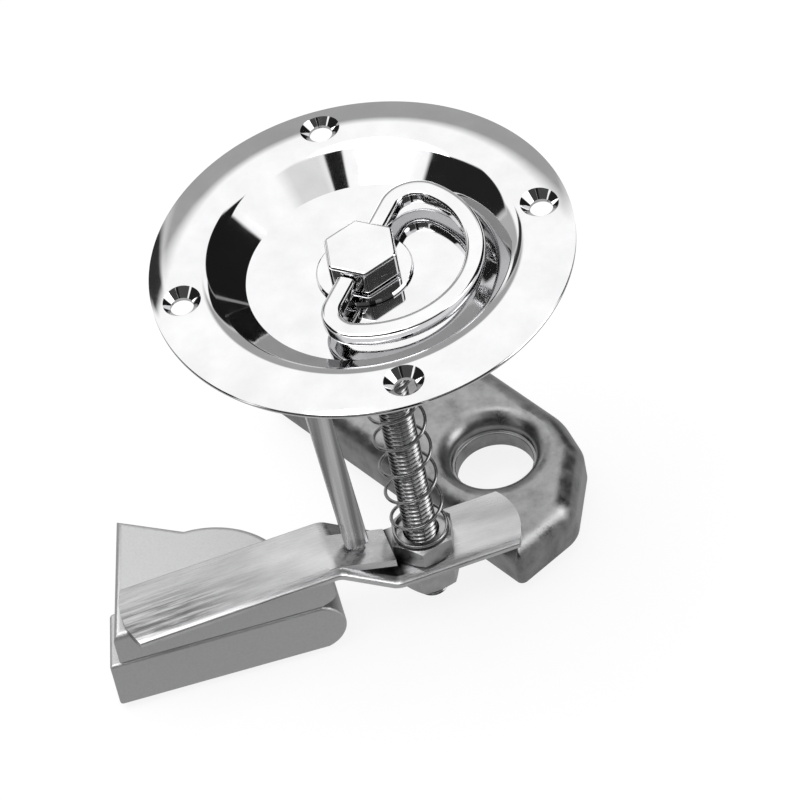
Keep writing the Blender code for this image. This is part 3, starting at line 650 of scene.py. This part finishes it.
def bar_painted_shade(tree, s, along, across, level):
    """Painted shade, nearly black, on the sheet in the hollow under the tongue."""
    fall = s.tongue_drop / (s.start - s.end)
    under = -s.depth + s.joggle - s.sheet - fall * s.start
    depth = calculated(tree, "MULTIPLY_ADD", along, fall, level)
    edge = 0.1 * s.sheet
    hollow = ramped(tree, depth, under - s.sheet + edge, under - edge, at_low=1.0, at_high=0.0)
    root = ramped(tree, along, -s.start, -s.start + s.sheet, at_low=0.0, at_high=1.0)
    tip = ramped(tree, along, -0.8 * s.end, -0.6 * s.end, at_low=1.0, at_high=0.0)
    near = ramped(tree, across, -s.tongue_near - edge, -s.tongue_near + edge, at_low=0.0, at_high=1.0)
    return product(tree, hollow, root, tip, near)


def brushed_bar():
    """Satin bar: long fine scratches, coarser scratches over painted shade near its long end, and painted
    shade in the hollow under the tongue.
    """
    s = settings().latch_bar_sizes
    colour = settings().latch_finishes.satin
    material, tree, shader = metal("brushed_bar", colour, roughness=0.3)
    fine = clouds(tree, surface_place(tree, (14, 1, 1), s.angle), scale=3200.0, rough=0.7)
    broad = clouds(tree, surface_place(tree, (3, 1, 1), s.angle), scale=110.0, detail=3.0)
    fine_share = 0.3
    broad_part = ramped(tree, broad, 0.0, 1.0, at_low=0.0, at_high=1 - fine_share)
    marks = calculated(tree, "MULTIPLY_ADD", fine, fine_share, broad_part)
    along, across, level = split(tree, surface_place(tree, angle=s.angle))
    tone = toned(tree, marks, colour, dark=0.66, light=1.12, low=0.38, high=0.6)
    # Painted shade with dark scratches over it near the long arm's end
    tone = mixed(tree, bar_scratches_and_shade(tree, s, along, across), tone, shade(colour, 0.25))
    # Painted shade: the hollow under the tongue is darkened nearly to black
    tone = mixed(tree, bar_painted_shade(tree, s, along, across, level), tone, shade(colour, 0.08))
    rubbed(tree, shader, fine, smooth=0.24, rough=0.42)
    painted(tree, shader, tone)
    bumped(tree, shader, fine, strength=0.12, distance=0.00008)
    return material


def matt_pressed():
    """Pressed plate: mottled, tumbled grey with soft dents."""
    colour = settings().latch_finishes.pressed
    material, tree, shader = metal("matt_pressed", colour, roughness=0.36)
    place = surface_place(tree)
    mottle = clouds(tree, place, scale=260.0, detail=7.0, rough=0.62)
    dents = clouds(tree, place, scale=900.0)
    rubbed(tree, shader, mottle, smooth=0.24, rough=0.42)
    painted(tree, shader, toned(tree, mottle, colour, dark=0.6, light=1.25))
    bumped(tree, shader, dents, strength=0.22, distance=0.00012)
    return material


def cast_leaf():
    """Leaves: even, fine-grained and nearly matt."""
    colour = settings().latch_finishes.cast
    material, tree, shader = metal("cast_leaf", colour, roughness=0.5)
    grain = clouds(tree, surface_place(tree), scale=1900.0, detail=5.0, rough=0.65)
    rubbed(tree, shader, grain, smooth=0.38, rough=0.62)
    painted(tree, shader, toned(tree, grain, colour, dark=0.88, light=1.08))
    bumped(tree, shader, grain, strength=0.3, distance=0.00009)
    return material


# Flange, ring and stem


def dish_slope(run, depth, curve):
    """The slope of a straight side that ends in a curve tangent to the face."""
    return 2 * atan2(depth, run + sqrt(run**2 + depth * (depth - 2 * curve)))


def cup_profile(s):
    """The flange's section, from the hole in its floor to its edge and back underneath."""
    radius = s.mouth / 2 + s.face
    floor = s.mouth / 2 - s.side
    brink = s.mouth / 2 + s.lip
    bore = s.hole / 2
    bottom = s.thickness - s.depth
    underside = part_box("cup_flange")[0].z
    slope = dish_slope(brink - floor, s.depth, s.lip_round)
    profile = [(reach, bottom) for reach in (bore, (bore + floor) / 2, floor - s.lip / 4, floor)]
    profile += arc((brink, s.thickness - s.lip_round), s.lip_round, pi / 2 + slope, pi / 2, steps=24)
    profile += [(radius - s.rim * (1 - share), s.thickness - s.fall * share**2) for share in shares(18)]
    edge = (s.thickness - s.fall) / 2
    profile += arc((radius - edge / 2, edge), edge / 2, pi / 3, -pi / 3, steps=6)
    profile.append((radius - edge, 0))
    back = s.mouth / 2 + s.wall - s.lip / 2 - floor
    for share in shares(12):
        angle = pi / 2 * (1 - share)
        profile.append((floor + back * sin(angle), underside * cos(angle)))
    profile.append((bore, underside))
    return profile


def screw_hole(s, index):
    """What one countersunk hole takes out of the flange."""
    hole, sink, over = s.screw_hole / 2, s.screw_sink / 2, s.thickness
    top = s.thickness + over
    profile = [(0, top), (sink + over, top), (hole, s.thickness - (sink - hole)), (hole, -over), (0, -over)]
    tool = turned_solid(f"screw_hole_{index}", profile, steps=64)
    reach = s.mouth / 2 + s.screw_inset
    angle = 2 * pi / SCREW_HOLES * index
    tool.location = (reach * cos(angle), reach * sin(angle), 0)
    return tool


class LATCH_OT_cup(bpy.types.Operator):
    """Make the dished flange with its four countersunk holes"""

    bl_idname = "latch.cup"
    bl_label = "Dished flange"

    def execute(self, context):
        s = context.scene.latch_cup_sizes
        cup = turned("dished_flange", cup_profile(s), steps=288)
        for index in range(SCREW_HOLES):
            joined(cup, screw_hole(s, index), "DIFFERENCE")
        dressed(cup, "housing", mirror_chrome(), "mirror_chrome", "cup_flange")
        return {"FINISHED"}


def ring_line(s, head):
    """The ring's centre line, each point with its share of the way from round pin to flat bar."""
    arm = head / 2 + s.arm_gap
    offset = s.bow - s.bow_radius
    rise = s.corner - offset
    reach = sqrt((s.bow_radius - s.corner) ** 2 - rise**2)
    sweep = atan2(rise, reach)
    steps = 4
    half = [(arm - s.pin_length, 0, 0.0), (arm - s.shoulder / 5, 0, 0.0)]
    half += [(arm + s.shoulder * step, 0, (step + 1) / steps) for step in range(steps)]
    half += [(*point, 1.0) for point in arc((reach, s.corner), s.corner, -pi / 2, sweep, steps=20)]
    half += [(*point, 1.0) for point in arc((0, offset), s.bow_radius, sweep, pi / 2, steps=40)[1:]]
    line = half + [(-x, y, flat) for x, y, flat in reversed(half[:-1])]
    return [(x, -y, flat) for x, y, flat in line]


def ring_section(s, flat, steps=36):
    """One section: a round pin where flat is 0, a rounded flat bar where it is 1."""
    power = 2 / (2 + s.squareness * flat)
    half_width = (s.pin + (s.width - s.pin) * flat) / 2
    half_height = (s.pin + (s.thickness - s.pin) * flat) / 2
    section = []
    for angle in directions(steps):
        across = copysign(abs(cos(angle)) ** power, cos(angle))
        up = copysign(abs(sin(angle)) ** power, sin(angle))
        section.append((half_width * across, half_height * up))
    return section


class LATCH_OT_ring(bpy.types.Operator):
    """Make the folding pull ring with its two pins"""

    bl_idname = "latch.ring"
    bl_label = "Pull ring"

    def execute(self, context):
        s = context.scene.latch_ring_sizes
        line = ring_line(s, context.scene.latch_stem_sizes.head)
        place = Matrix.Translation((0, 0, s.level)) @ Matrix.Rotation(s.angle, 4, "Z")
        loops = []
        for index, (x, y, flat) in enumerate(line):
            before, after = neighbours(line, index)
            normal = Vector((after[1] - before[1], before[0] - after[0])).normalized()
            section = ring_section(s, flat)
            loops.append([place @ Vector((x + normal.x * a, y + normal.y * a, b)) for a, b in section])
        ring = rings("folding_ring", loops)
        dressed(ring, "ring", mirror_chrome(), "mirror_chrome", "pull_ring")
        return {"FINISHED"}


def pivot_hole(ring, head, side):
    """What one of the ring's pins needs in the head."""
    radius = ring.pin / 2 + ring.clearance
    low = head / 2 - ring.pin_length
    profile = [(0, low), (radius, low), (radius, head), (0, head)]
    tool = turned_solid(f"pivot_hole_{side}", profile, steps=48)
    tool.rotation_euler = (0, side * pi / 2, ring.angle)
    tool.location.z = ring.level
    return tool


def thread_loops(s, low, high, steps=44, rows_per_turn=9):
    """Loops of points up the stem, each drawn in where the thread's groove passes."""
    loops = []
    for share in shares(round((high - low) / s.pitch * rows_per_turn)):
        level = low + (high - low) * share
        limit = s.width / 2 - max(0.0, s.chamfer - (level - low))
        loop = []
        for angle in directions(steps):
            phase = (level / s.pitch - angle / (2 * pi)) % 1.0
            groove = max(0.0, 1 - abs(phase - 0.5) * 2 / s.groove)
            radius = min(limit, s.width / 2 - s.thread * groove)
            loop.append((radius * cos(angle), radius * sin(angle), level))
        loops.append(loop)
    return loops


class LATCH_OT_stem(bpy.types.Operator):
    """Make the hexagon head and the threaded stem"""

    bl_idname = "latch.stem"
    bl_label = "Head and stem"

    def execute(self, context):
        s = context.scene.latch_stem_sizes
        ring = context.scene.latch_ring_sizes
        low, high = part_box("spindle")
        foot = high.z - s.head_height
        head = hexagon("hexagon_head", s.head, foot, high.z, ring.angle)
        settled(rounded(head, s.head_round, segments=4))
        for side in (1, -1):
            joined(head, pivot_hole(ring, s.head, side), "DIFFERENCE")
        dressed(head, "stem_set", mirror_chrome(), "mirror_chrome", "spindle")
        stem = rings("threaded_stem", thread_loops(s, low.z, foot + s.overlap))
        dressed(stem, "stem_set", bright_steel(), "bright_steel", "spindle", angle=radians(60))
        return {"FINISHED"}


class LATCH_OT_spring(bpy.types.Operator):
    """Make the return spring round the stem"""

    bl_idname = "latch.spring"
    bl_label = "Return spring"

    def execute(self, context):
        s = context.scene.latch_spring_sizes
        low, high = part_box("return_spring")
        bottom, top = low.z + s.wire / 2, high.z - s.wire / 2
        radius = (s.width - s.wire) / 2
        turns = s.turns + 2 * s.end_turns
        rows_per_turn = 36
        loops = []
        for share in shares(round(turns * rows_per_turn)):
            along = turns * share - s.end_turns
            part = min(1.0, max(0.0, along / s.turns))
            angle = s.start + 2 * pi * along
            out = Vector((cos(angle), sin(angle), 0))
            centre = out * radius + Vector((0, 0, bottom + (top - bottom) * part))
            section = [out * cos(a) + Vector((0, 0, sin(a))) for a in directions(14)]
            loops.append([centre + point * s.wire / 2 for point in section])
        spring = rings("coil_spring", loops)
        dressed(spring, "swivel", bright_steel(), "bright_steel", "return_spring", angle=radians(60))
        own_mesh(spring)
        return {"FINISHED"}


# Bar, strike plate and the carried pieces


def bar_line(s):
    """The middle of the sheet seen from its long edge, as (reach, level) pairs that run to the long end."""
    longest = 0.002
    low = -s.depth - s.sheet / 2
    high = low + s.joggle
    bend = s.bend + s.sheet / 2
    corners = [(s.short_reach + s.width, low, 0), (-s.end, low, bend)]
    corners += [(-s.start, high, bend), (-s.long_reach - s.width, high, 0)]
    line = filleted(corners, finest=radians(4))
    dense = [line[0]]
    for (x0, z0), (x1, z1) in zip(line, line[1:]):
        steps = max(1, ceil(abs(x1 - x0) / longest))
        dense += [(x0 + (x1 - x0) * share, z0 + (z1 - z0) * share) for share in shares(steps)[1:]]
    return dense


def bar_section(s):
    """The sheet across: slightly crowned, its near edge rolled down."""
    half, thick = s.width / 2, s.sheet / 2
    near = (-half, thick - s.roll_drop)
    bottom = [(-half, -thick, s.edge), (half, -thick, s.edge)]
    outline = filleted([(half, thick - s.crown, s.edge), (*near, 0), *bottom])
    top = []
    for share in shares(12):
        across = half - s.edge - (s.width - s.roll - s.edge) * share
        top.append((across, thick - s.crown * (max(across, 0) / half) ** 2))
    for share in shares(16)[1:]:
        angle = pi / 2 * share
        top.append((-half + s.roll * (1 - sin(angle)), thick - s.roll_drop * (1 - cos(angle))))
    corner = outline.index(near)
    return outline[: corner - 1] + top + outline[corner + 1 :]


def bar_plan(s):
    """The bar's round ends seen from above, a little wider than the sheet."""
    margin = 0.001
    half = s.width / 2 + margin
    points = []
    for reach, radius, side in ((s.short_reach, s.short_end, 1), (-s.long_reach, s.long_end, -1)):
        sweep = atan2(half, sqrt(radius**2 - half**2))
        start = 0 if side > 0 else pi
        points += arc((reach - side * radius, 0), radius, start - sweep, start + sweep, steps=28)
    return rotated(points, s.angle)


def bar_tongue(s):
    """The strip that stands out over the joggle, up to the nut, and carries the stop leg."""
    end = s.nut / 2 / cos(pi / 6) + s.tongue_gap
    root = s.start + s.sheet
    top = -s.depth + s.joggle
    tip = top - s.tongue_drop
    side = [(-root, top), (-root, top - s.sheet), (-s.start, top - s.sheet)]
    side += [(-end, tip - s.sheet), (-end, tip), (-s.start, top)]
    loops = []
    for across in (-s.tongue_near, s.tongue_far):
        loops.append([Matrix.Rotation(s.angle, 4, "Z") @ Vector((x, across, z)) for x, z in side])
    return rings("bar_tongue", loops)


class LATCH_OT_bar(bpy.types.Operator):
    """Make the joggled latch bar with its tongue"""

    bl_idname = "latch.bar"
    bl_label = "Latch bar"

    def execute(self, context):
        s = context.scene.latch_bar_sizes
        section = bar_section(s)
        line = bar_line(s)
        loops = []
        for index, (x, z) in enumerate(line):
            before, after = neighbours(line, index)
            along = Vector((before[0] - after[0], before[1] - after[1])).normalized()
            loop = [(x - along.y * up, across, z + along.x * up) for across, up in section]
            loops.append([Matrix.Rotation(s.angle, 4, "Z") @ Vector(point) for point in loop])
        bar = rings("joggled_bar", loops)
        low, high = -s.depth - s.width, -s.depth + s.width
        joined(bar, prism("bar_plan", bar_plan(s), low, high), "INTERSECT")
        joined(bar, bar_tongue(s), "UNION")
        bore = [(s.bore / 2 * cos(angle), s.bore / 2 * sin(angle)) for angle in directions(64)]
        joined(bar, prism("bar_bore", bore, low, -s.depth + s.sheet / 2), "DIFFERENCE")
        dressed(bar, "stem_set", brushed_bar(), "brushed_bar", "latch_bar")
        return {"FINISHED"}


def inset(corners, by):
    """The corners of an outline that runs anticlockwise, with each side moved inwards."""
    moved = []
    for index, (x, y, radius) in enumerate(corners):
        here = Vector((x, y))
        into = (here - Vector(corners[index - 1][:2])).normalized()
        away = (Vector(corners[(index + 1) % len(corners)][:2]) - here).normalized()
        first, second = Vector((-into.y, into.x)), Vector((-away.y, away.x))
        shift = (first + second) / (1 + first.dot(second)) * by
        moved.append((x + shift.x, y + shift.y, max(radius - by, radius / 5)))
    return moved


def strike_corners(s, tail):
    """The strike plate's corners seen from above, with their radii."""
    flat_end = s.side + s.nose_flat
    slant = (s.nose - s.slant_along, flat_end + s.slant_across)
    far = slant[1] + s.shoulder_across
    return [
        (-tail, s.side, 0),
        (s.nose, s.side, s.near_corner),
        (s.nose, flat_end, s.far_corner),
        (*slant, s.slant_corner),
        (slant[0] - s.shoulder, far, s.shoulder_corner),
        (-tail, far, 0),
    ]


def hole_place(s, obj):
    """Moves a piece to the drawn hole."""
    x, y = rotated([(s.hole_along, s.hole_across)], s.angle)[0]
    obj.location = (x, y, 0)
    return obj


def strike_collar(s, top):
    """The drawn collar under the plate, still without its hole."""
    outer = s.hole / 2 + s.ledge + s.collar_wall
    edge = s.collar_edge
    high, low = top - s.sheet / 2, top - s.collar
    profile = [(0, high), (outer, high), (outer, low + edge), (outer - edge, low), (0, low)]
    return hole_place(s, turned_solid("strike_collar", profile, steps=128))


def strike_hole(s, top):
    """What the drawn hole takes out: a wide roll, a straight wall, a ledge and the bore."""
    hole, mouth = s.hole / 2, s.mouth / 2
    wall = hole + s.ledge
    over = s.sheet
    profile = [(0, top + over), (mouth, top + over), (mouth, top)]
    for share in shares(24)[1:]:
        angle = pi / 2 * share
        profile.append((mouth - (mouth - wall) * sin(angle), top - s.dip * (1 - cos(angle))))
    outer, inner = s.ledge / 4, s.ledge / 3
    level = top - s.dip - s.ledge
    profile += arc((wall - outer, level), outer, 0, -pi / 2, steps=4)
    profile.append((hole + inner, level - outer))
    profile += arc((hole + inner, level - outer - inner), inner, pi / 2, pi, steps=5)[1:]
    profile += [(hole, top - s.collar - over), (0, top - s.collar - over)]
    return hole_place(s, turned_solid("strike_hole", profile, steps=128))


class LATCH_OT_strike(bpy.types.Operator):
    """Make the pressed strike plate with its drawn hole"""

    bl_idname = "latch.strike"
    bl_label = "Strike plate"

    def execute(self, context):
        s = context.scene.latch_strike_sizes
        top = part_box("strike_plate")[1].z
        foot = top - s.height
        levels = [(0, foot)]
        for share in shares(16):
            angle = pi / 2 * share
            levels.append((s.bend * (1 - cos(angle)), top - s.bend * (1 - sin(angle))))
        loops = []
        for by, level in levels:
            outline = rotated(filleted(inset(strike_corners(s, s.tail), by)), s.angle)
            loops.append([(x, y, level) for x, y in outline])
        strike = rings("pressed_strike", loops)
        inner = rotated(filleted(inset(strike_corners(s, s.tail + 2 * s.sheet), s.sheet)), s.angle)
        joined(strike, prism("strike_hollow", inner, foot - s.sheet, top - s.sheet), "DIFFERENCE")
        joined(strike, strike_collar(s, top), "UNION")
        joined(strike, strike_hole(s, top), "DIFFERENCE")
        dressed(strike, "housing", matt_pressed(), "matt_steel", "strike_plate")
        return {"FINISHED"}


def side_prism(name, outline, near, far):
    """An outline of (reach, height) pairs, as wide as from near to far."""
    return rings(name, [[(x, near, z) for x, z in outline], [(x, far, z) for x, z in outline]])


def upper_plan(s):
    """The upper leaf seen from above: a straight near edge, and a far edge with one round lobe."""
    near, nose = -s.near, s.lean - s.nose
    tail, far = nose - s.upper_reach, s.nose_width - s.near
    lobe = (nose - s.lobe_back, near + s.lobe_across)
    notch = (lobe[0], lobe[1] + s.lobe)
    depth = notch[1] - near + (notch[0] - tail) * tan(-s.slope)
    cut = depth * tan(-s.cut)
    far_tail = (tail + cut, notch[1] - (notch[0] - tail - cut) * tan(s.slope))
    lobe_arc = arc(lobe, s.lobe, s.lobe_start, pi / 2, steps=24)
    corners = [(tail, near, 0), (nose, near, s.near_corner), (nose, far, s.far_corner), (*lobe_arc[0], 0)]
    return filleted(corners)[:-1] + lobe_arc + [far_tail]


class LATCH_OT_leaves(bpy.types.Operator):
    """Make the two bearer leaves"""

    bl_idname = "latch.leaves"
    bl_label = "Bearer leaves"

    def execute(self, context):
        s = context.scene.latch_leaf_sizes
        self.upper(s)
        self.lower(s)
        return {"FINISHED"}

    def upper(self, s):
        low, high = (corner.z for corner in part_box("upper_leaf"))
        low += s.gap
        leaf = prism("upper_bearer", upper_plan(s), low, high)
        settled(rounded_level(leaf, high, s.round, segments=6))
        over = high - low
        back, tip = -s.nose - s.upper_reach - over, s.lean - s.nose
        side = filleted(
            [
                (back, low, 0),
                (tip - s.toe, low, s.toe_corner),
                (tip, low + s.toe_rise, s.tip_corner),
                (-s.nose, high, 0),
                (-s.nose, high + over, 0),
                (back, high + over, 0),
            ]
        )
        joined(leaf, side_prism("upper_side", side, -s.near - over, s.upper_reach), "INTERSECT")
        settled(rounded(leaf, s.edge, segments=4, angle=radians(50)))
        dressed(leaf, "housing", cast_leaf(), "matt_steel", "upper_leaf")

    def lower(self, s):
        low, high = (corner.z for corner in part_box("lower_leaf"))
        over = (high - low) / 2
        near, nose = -s.near, s.lower_lead - s.nose
        tail, front = nose - s.lower_reach, nose + over
        far_tail = tail - (s.near + s.lower_far) * tan(s.cut)
        plan = [(tail, near), (front, near), (front, s.lower_far), (far_tail, s.lower_far)]
        radius = over + s.lower_extra
        sweep = asin(over / radius)
        tip = arc((nose - radius, low + over), radius, -sweep, sweep, steps=40)
        side = [(tail - over, low), *tip, (tail - over, high)]
        leaf = side_prism("lower_bearer", side, near - over, s.lower_far + over)
        joined(leaf, prism("lower_plan", plan, low - over, high + over), "INTERSECT")
        settled(rounded(leaf, s.lower_edge, segments=4, angle=radians(50)))
        dressed(leaf, "housing", cast_leaf(), "matt_steel", "lower_leaf")


class LATCH_OT_carried(bpy.types.Operator):
    """Finish the washer, nuts and stop leg"""

    bl_idname = "latch.carried"
    bl_label = "Washer, nuts and leg"

    def execute(self, context):
        finishes = {
            "head_washer": mirror_chrome(),
            "upper_nut": plain_steel(),
            "lower_nut": plain_steel(),
            "stop_leg": drawn_leg(),
        }
        for name, material in finishes.items():
            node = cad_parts[name]
            node.data.materials.clear()
            node.data.materials.append(material)
        return {"FINISHED"}


# Stage


# Lower than straight down, so that a part of the room has no soft lower edge
BELOW = -100

# The room's dark and grey parts: from and to azimuth and elevation in degrees, softness and brightness
ROOM_PARTS = (
    (60, 104, BELOW, 39, 6, 0.35),
    (104, 113, 16, 41, 2, 0.03),
    (46, 60, BELOW, 29, 2, 0.01),
    (2, 46, BELOW, 56, 2, 0.01),
    (113, 136, BELOW, 26, 6, 0.42),
    (136, 190, BELOW, 50, 3, 0.015),
    (-79, -40, 38, 66, 12, 0.72),
    (-79, -34, BELOW, 48.5, 1.5, 0.05),
    (-125, -96, BELOW, 48, 2, 0.06),
    (200, 265, BELOW, 48, 2, 0.06),
    (-97, -80, BELOW, 63, 2, 0.01),
)

# Where the count of the room's azimuth starts, in degrees
ROOM_START = -110

# The soft lamps: name, place, target, size and power
LAMPS = (
    ("overhead_lamp", (-0.25, -0.1, 0.9), (0, 0, -0.03), 0.7, 5.0),
    ("side_lamp", (0.8, -0.3, 0.45), (0, 0, -0.05), 0.5, 2.0),
)

# Where the camera stands, the way it looks and a direction that is upward in its picture
EYE_PLACE = (-0.0491, -0.6315, 0.6416)
EYE_VIEW = (0.05420, 0.67992, -0.73128)
EYE_UP = (0.2654, 0.6757, 0.6878)


def even(value):
    """A grey without a tint."""
    return (value, value, value, 1.0)


def between(tree, value, low, high, soft):
    """1 where a value in degrees lies between two others, with soft ends."""
    rise = ramped(tree, value, radians(low - soft / 2), radians(low + soft / 2), at_low=0.0, at_high=1.0)
    fall = ramped(tree, value, radians(high - soft / 2), radians(high + soft / 2), at_low=1.0, at_high=0.0)
    return product(tree, rise, fall)


def room_angles(tree):
    """The azimuth, counted from where the room starts, and the elevation of a direction."""
    place = tree.nodes.new("ShaderNodeTexCoord")
    x, y, z = split(tree, place.outputs["Generated"])
    first = radians(ROOM_START)
    azimuth = calculated(tree, "WRAP", calculated(tree, "ARCTAN2", y, x), first, first + 2 * pi)
    return azimuth, calculated(tree, "ARCSINE", z)


def light(tree, kind, colour, strength=1.0):
    """A background or a glow."""
    node = tree.nodes.new(kind)
    plugged(tree, node.inputs["Color"], colour)
    node.inputs["Strength"].default_value = strength
    return node.outputs[0]


def blended(tree, amount, first, second):
    """Two shaders mixed."""
    mix = tree.nodes.new("ShaderNodeMixShader")
    plugged(tree, mix.inputs["Fac"], amount)
    tree.links.new(first, mix.inputs[1])
    tree.links.new(second, mix.inputs[2])
    return mix.outputs[0]


def seen(tree, kind, mirrored, direct):
    """Ends a tree with one shader for reflections and light, and another for the direct view."""
    path = tree.nodes.new("ShaderNodeLightPath")
    output = tree.nodes.new(kind)
    tree.links.new(blended(tree, path.outputs["Is Camera Ray"], mirrored, direct), output.inputs["Surface"])


def room(context):
    """A white room with dark and grey parts, as a polished piece needs to show its shape."""
    world = bpy.data.worlds.new("room")
    context.scene.world = world
    world.use_nodes = True
    tree = world.node_tree
    tree.nodes.clear()
    azimuth, elevation = room_angles(tree)
    tone = WHITE
    for west, east, low, high, soft, value in ROOM_PARTS:
        across = between(tree, azimuth, west, east, soft)
        up = between(tree, elevation, low, high, soft)
        tone = mixed(tree, product(tree, across, up), tone, even(value))
    mirrored = light(tree, "ShaderNodeBackground", tone, context.scene.latch_stage.room)
    direct = light(tree, "ShaderNodeBackground", WHITE)
    seen(tree, "ShaderNodeOutputWorld", mirrored, direct)


def floor_material(s):
    """A floor that reads as white with a soft shadow to the eye, and as dark grey in polished metal."""
    material = bpy.data.materials.new("pale_floor")
    material.use_nodes = True
    tree = material.node_tree
    tree.nodes.clear()
    paint = tree.nodes.new("ShaderNodeBsdfDiffuse")
    paint.inputs["Color"].default_value = even(s.floor_paint)
    glow = light(tree, "ShaderNodeEmission", WHITE)
    direct = blended(tree, s.floor_glow, paint.outputs[0], glow)
    mirrored = light(tree, "ShaderNodeEmission", even(s.floor_mirrored))
    seen(tree, "ShaderNodeOutputMaterial", mirrored, direct)
    return material


def soft_lamp(name, place, target, size, power):
    """A square lamp that points at its target."""
    lamp = bpy.data.lights.new(name, "AREA")
    lamp.shape = "SQUARE"
    lamp.size = size
    lamp.energy = power
    obj = new_object(name, lamp)
    obj.location = place
    obj.rotation_euler = (Vector(target) - Vector(place)).to_track_quat("-Z", "Y").to_euler()


def camera(context):
    """The eye that sees the latch from above its near side, turned a little on its own axis."""
    data = bpy.data.cameras.new("eye")
    data.lens = context.scene.latch_stage.lens
    data.sensor_width = 36.0
    data.clip_start = 0.05
    data.clip_end = 10
    back = -Vector(EYE_VIEW).normalized()
    right = Vector(EYE_UP).cross(back).normalized()
    matrix = Matrix((right, back.cross(right), back)).transposed().to_4x4()
    matrix.translation = EYE_PLACE
    eye = new_object("eye", data)
    eye.matrix_world = matrix
    context.scene.camera = eye


class LATCH_OT_stage(bpy.types.Operator):
    """Make the floor, the soft lamps, the room and the camera"""

    bl_idname = "latch.stage"
    bl_label = "Stage"

    def execute(self, context):
        s = context.scene.latch_stage
        sides = ((-1, -1), (1, -1), (1, 1), (-1, 1))
        corners = [(x * s.floor_reach, y * s.floor_reach, s.floor) for x, y in sides]
        floor = new_piece("floor", corners, [(0, 1, 2, 3)])
        floor.data.materials.append(floor_material(s))
        for lamp in LAMPS:
            soft_lamp(*lamp)
        room(context)
        camera(context)
        context.scene.view_settings.view_transform = "Standard"
        return {"FINISHED"}


class LATCH_PT_panel(bpy.types.Panel):
    """Lists the latch's pieces"""

    bl_idname = "LATCH_PT_panel"
    bl_label = "Flush pull latch"
    bl_space_type = "VIEW_3D"
    bl_region_type = "UI"
    bl_category = "Latch"

    def draw(self, context):
        for operator in OPERATORS:
            self.layout.operator(operator.bl_idname)


GROUPS = {
    "latch_cup_sizes": CupSizes,
    "latch_ring_sizes": RingSizes,
    "latch_stem_sizes": StemSizes,
    "latch_spring_sizes": SpringSizes,
    "latch_bar_sizes": BarSizes,
    "latch_strike_sizes": StrikeSizes,
    "latch_leaf_sizes": LeafSizes,
    "latch_finishes": Finishes,
    "latch_stage": StageSettings,
}
OPERATORS = (
    LATCH_OT_cup,
    LATCH_OT_ring,
    LATCH_OT_stem,
    LATCH_OT_spring,
    LATCH_OT_bar,
    LATCH_OT_strike,
    LATCH_OT_leaves,
    LATCH_OT_carried,
    LATCH_OT_stage,
)


def register():
    for kind in (*GROUPS.values(), *OPERATORS, LATCH_PT_panel):
        bpy.utils.register_class(kind)
    for name, kind in GROUPS.items():
        setattr(bpy.types.Scene, name, bpy.props.PointerProperty(type=kind))


def unregister():
    for name in GROUPS:
        delattr(bpy.types.Scene, name)
    for kind in (LATCH_PT_panel, *reversed(OPERATORS), *reversed(GROUPS.values())):
        bpy.utils.unregister_class(kind)


def main():
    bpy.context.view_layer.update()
    register()
    bpy.ops.latch.cup()
    bpy.ops.latch.ring()
    bpy.ops.latch.stem()
    bpy.ops.latch.spring()
    bpy.ops.latch.bar()
    bpy.ops.latch.strike()
    bpy.ops.latch.leaves()
    bpy.ops.latch.carried()
    bpy.ops.latch.stage()


if __name__ == "__main__":
    main()
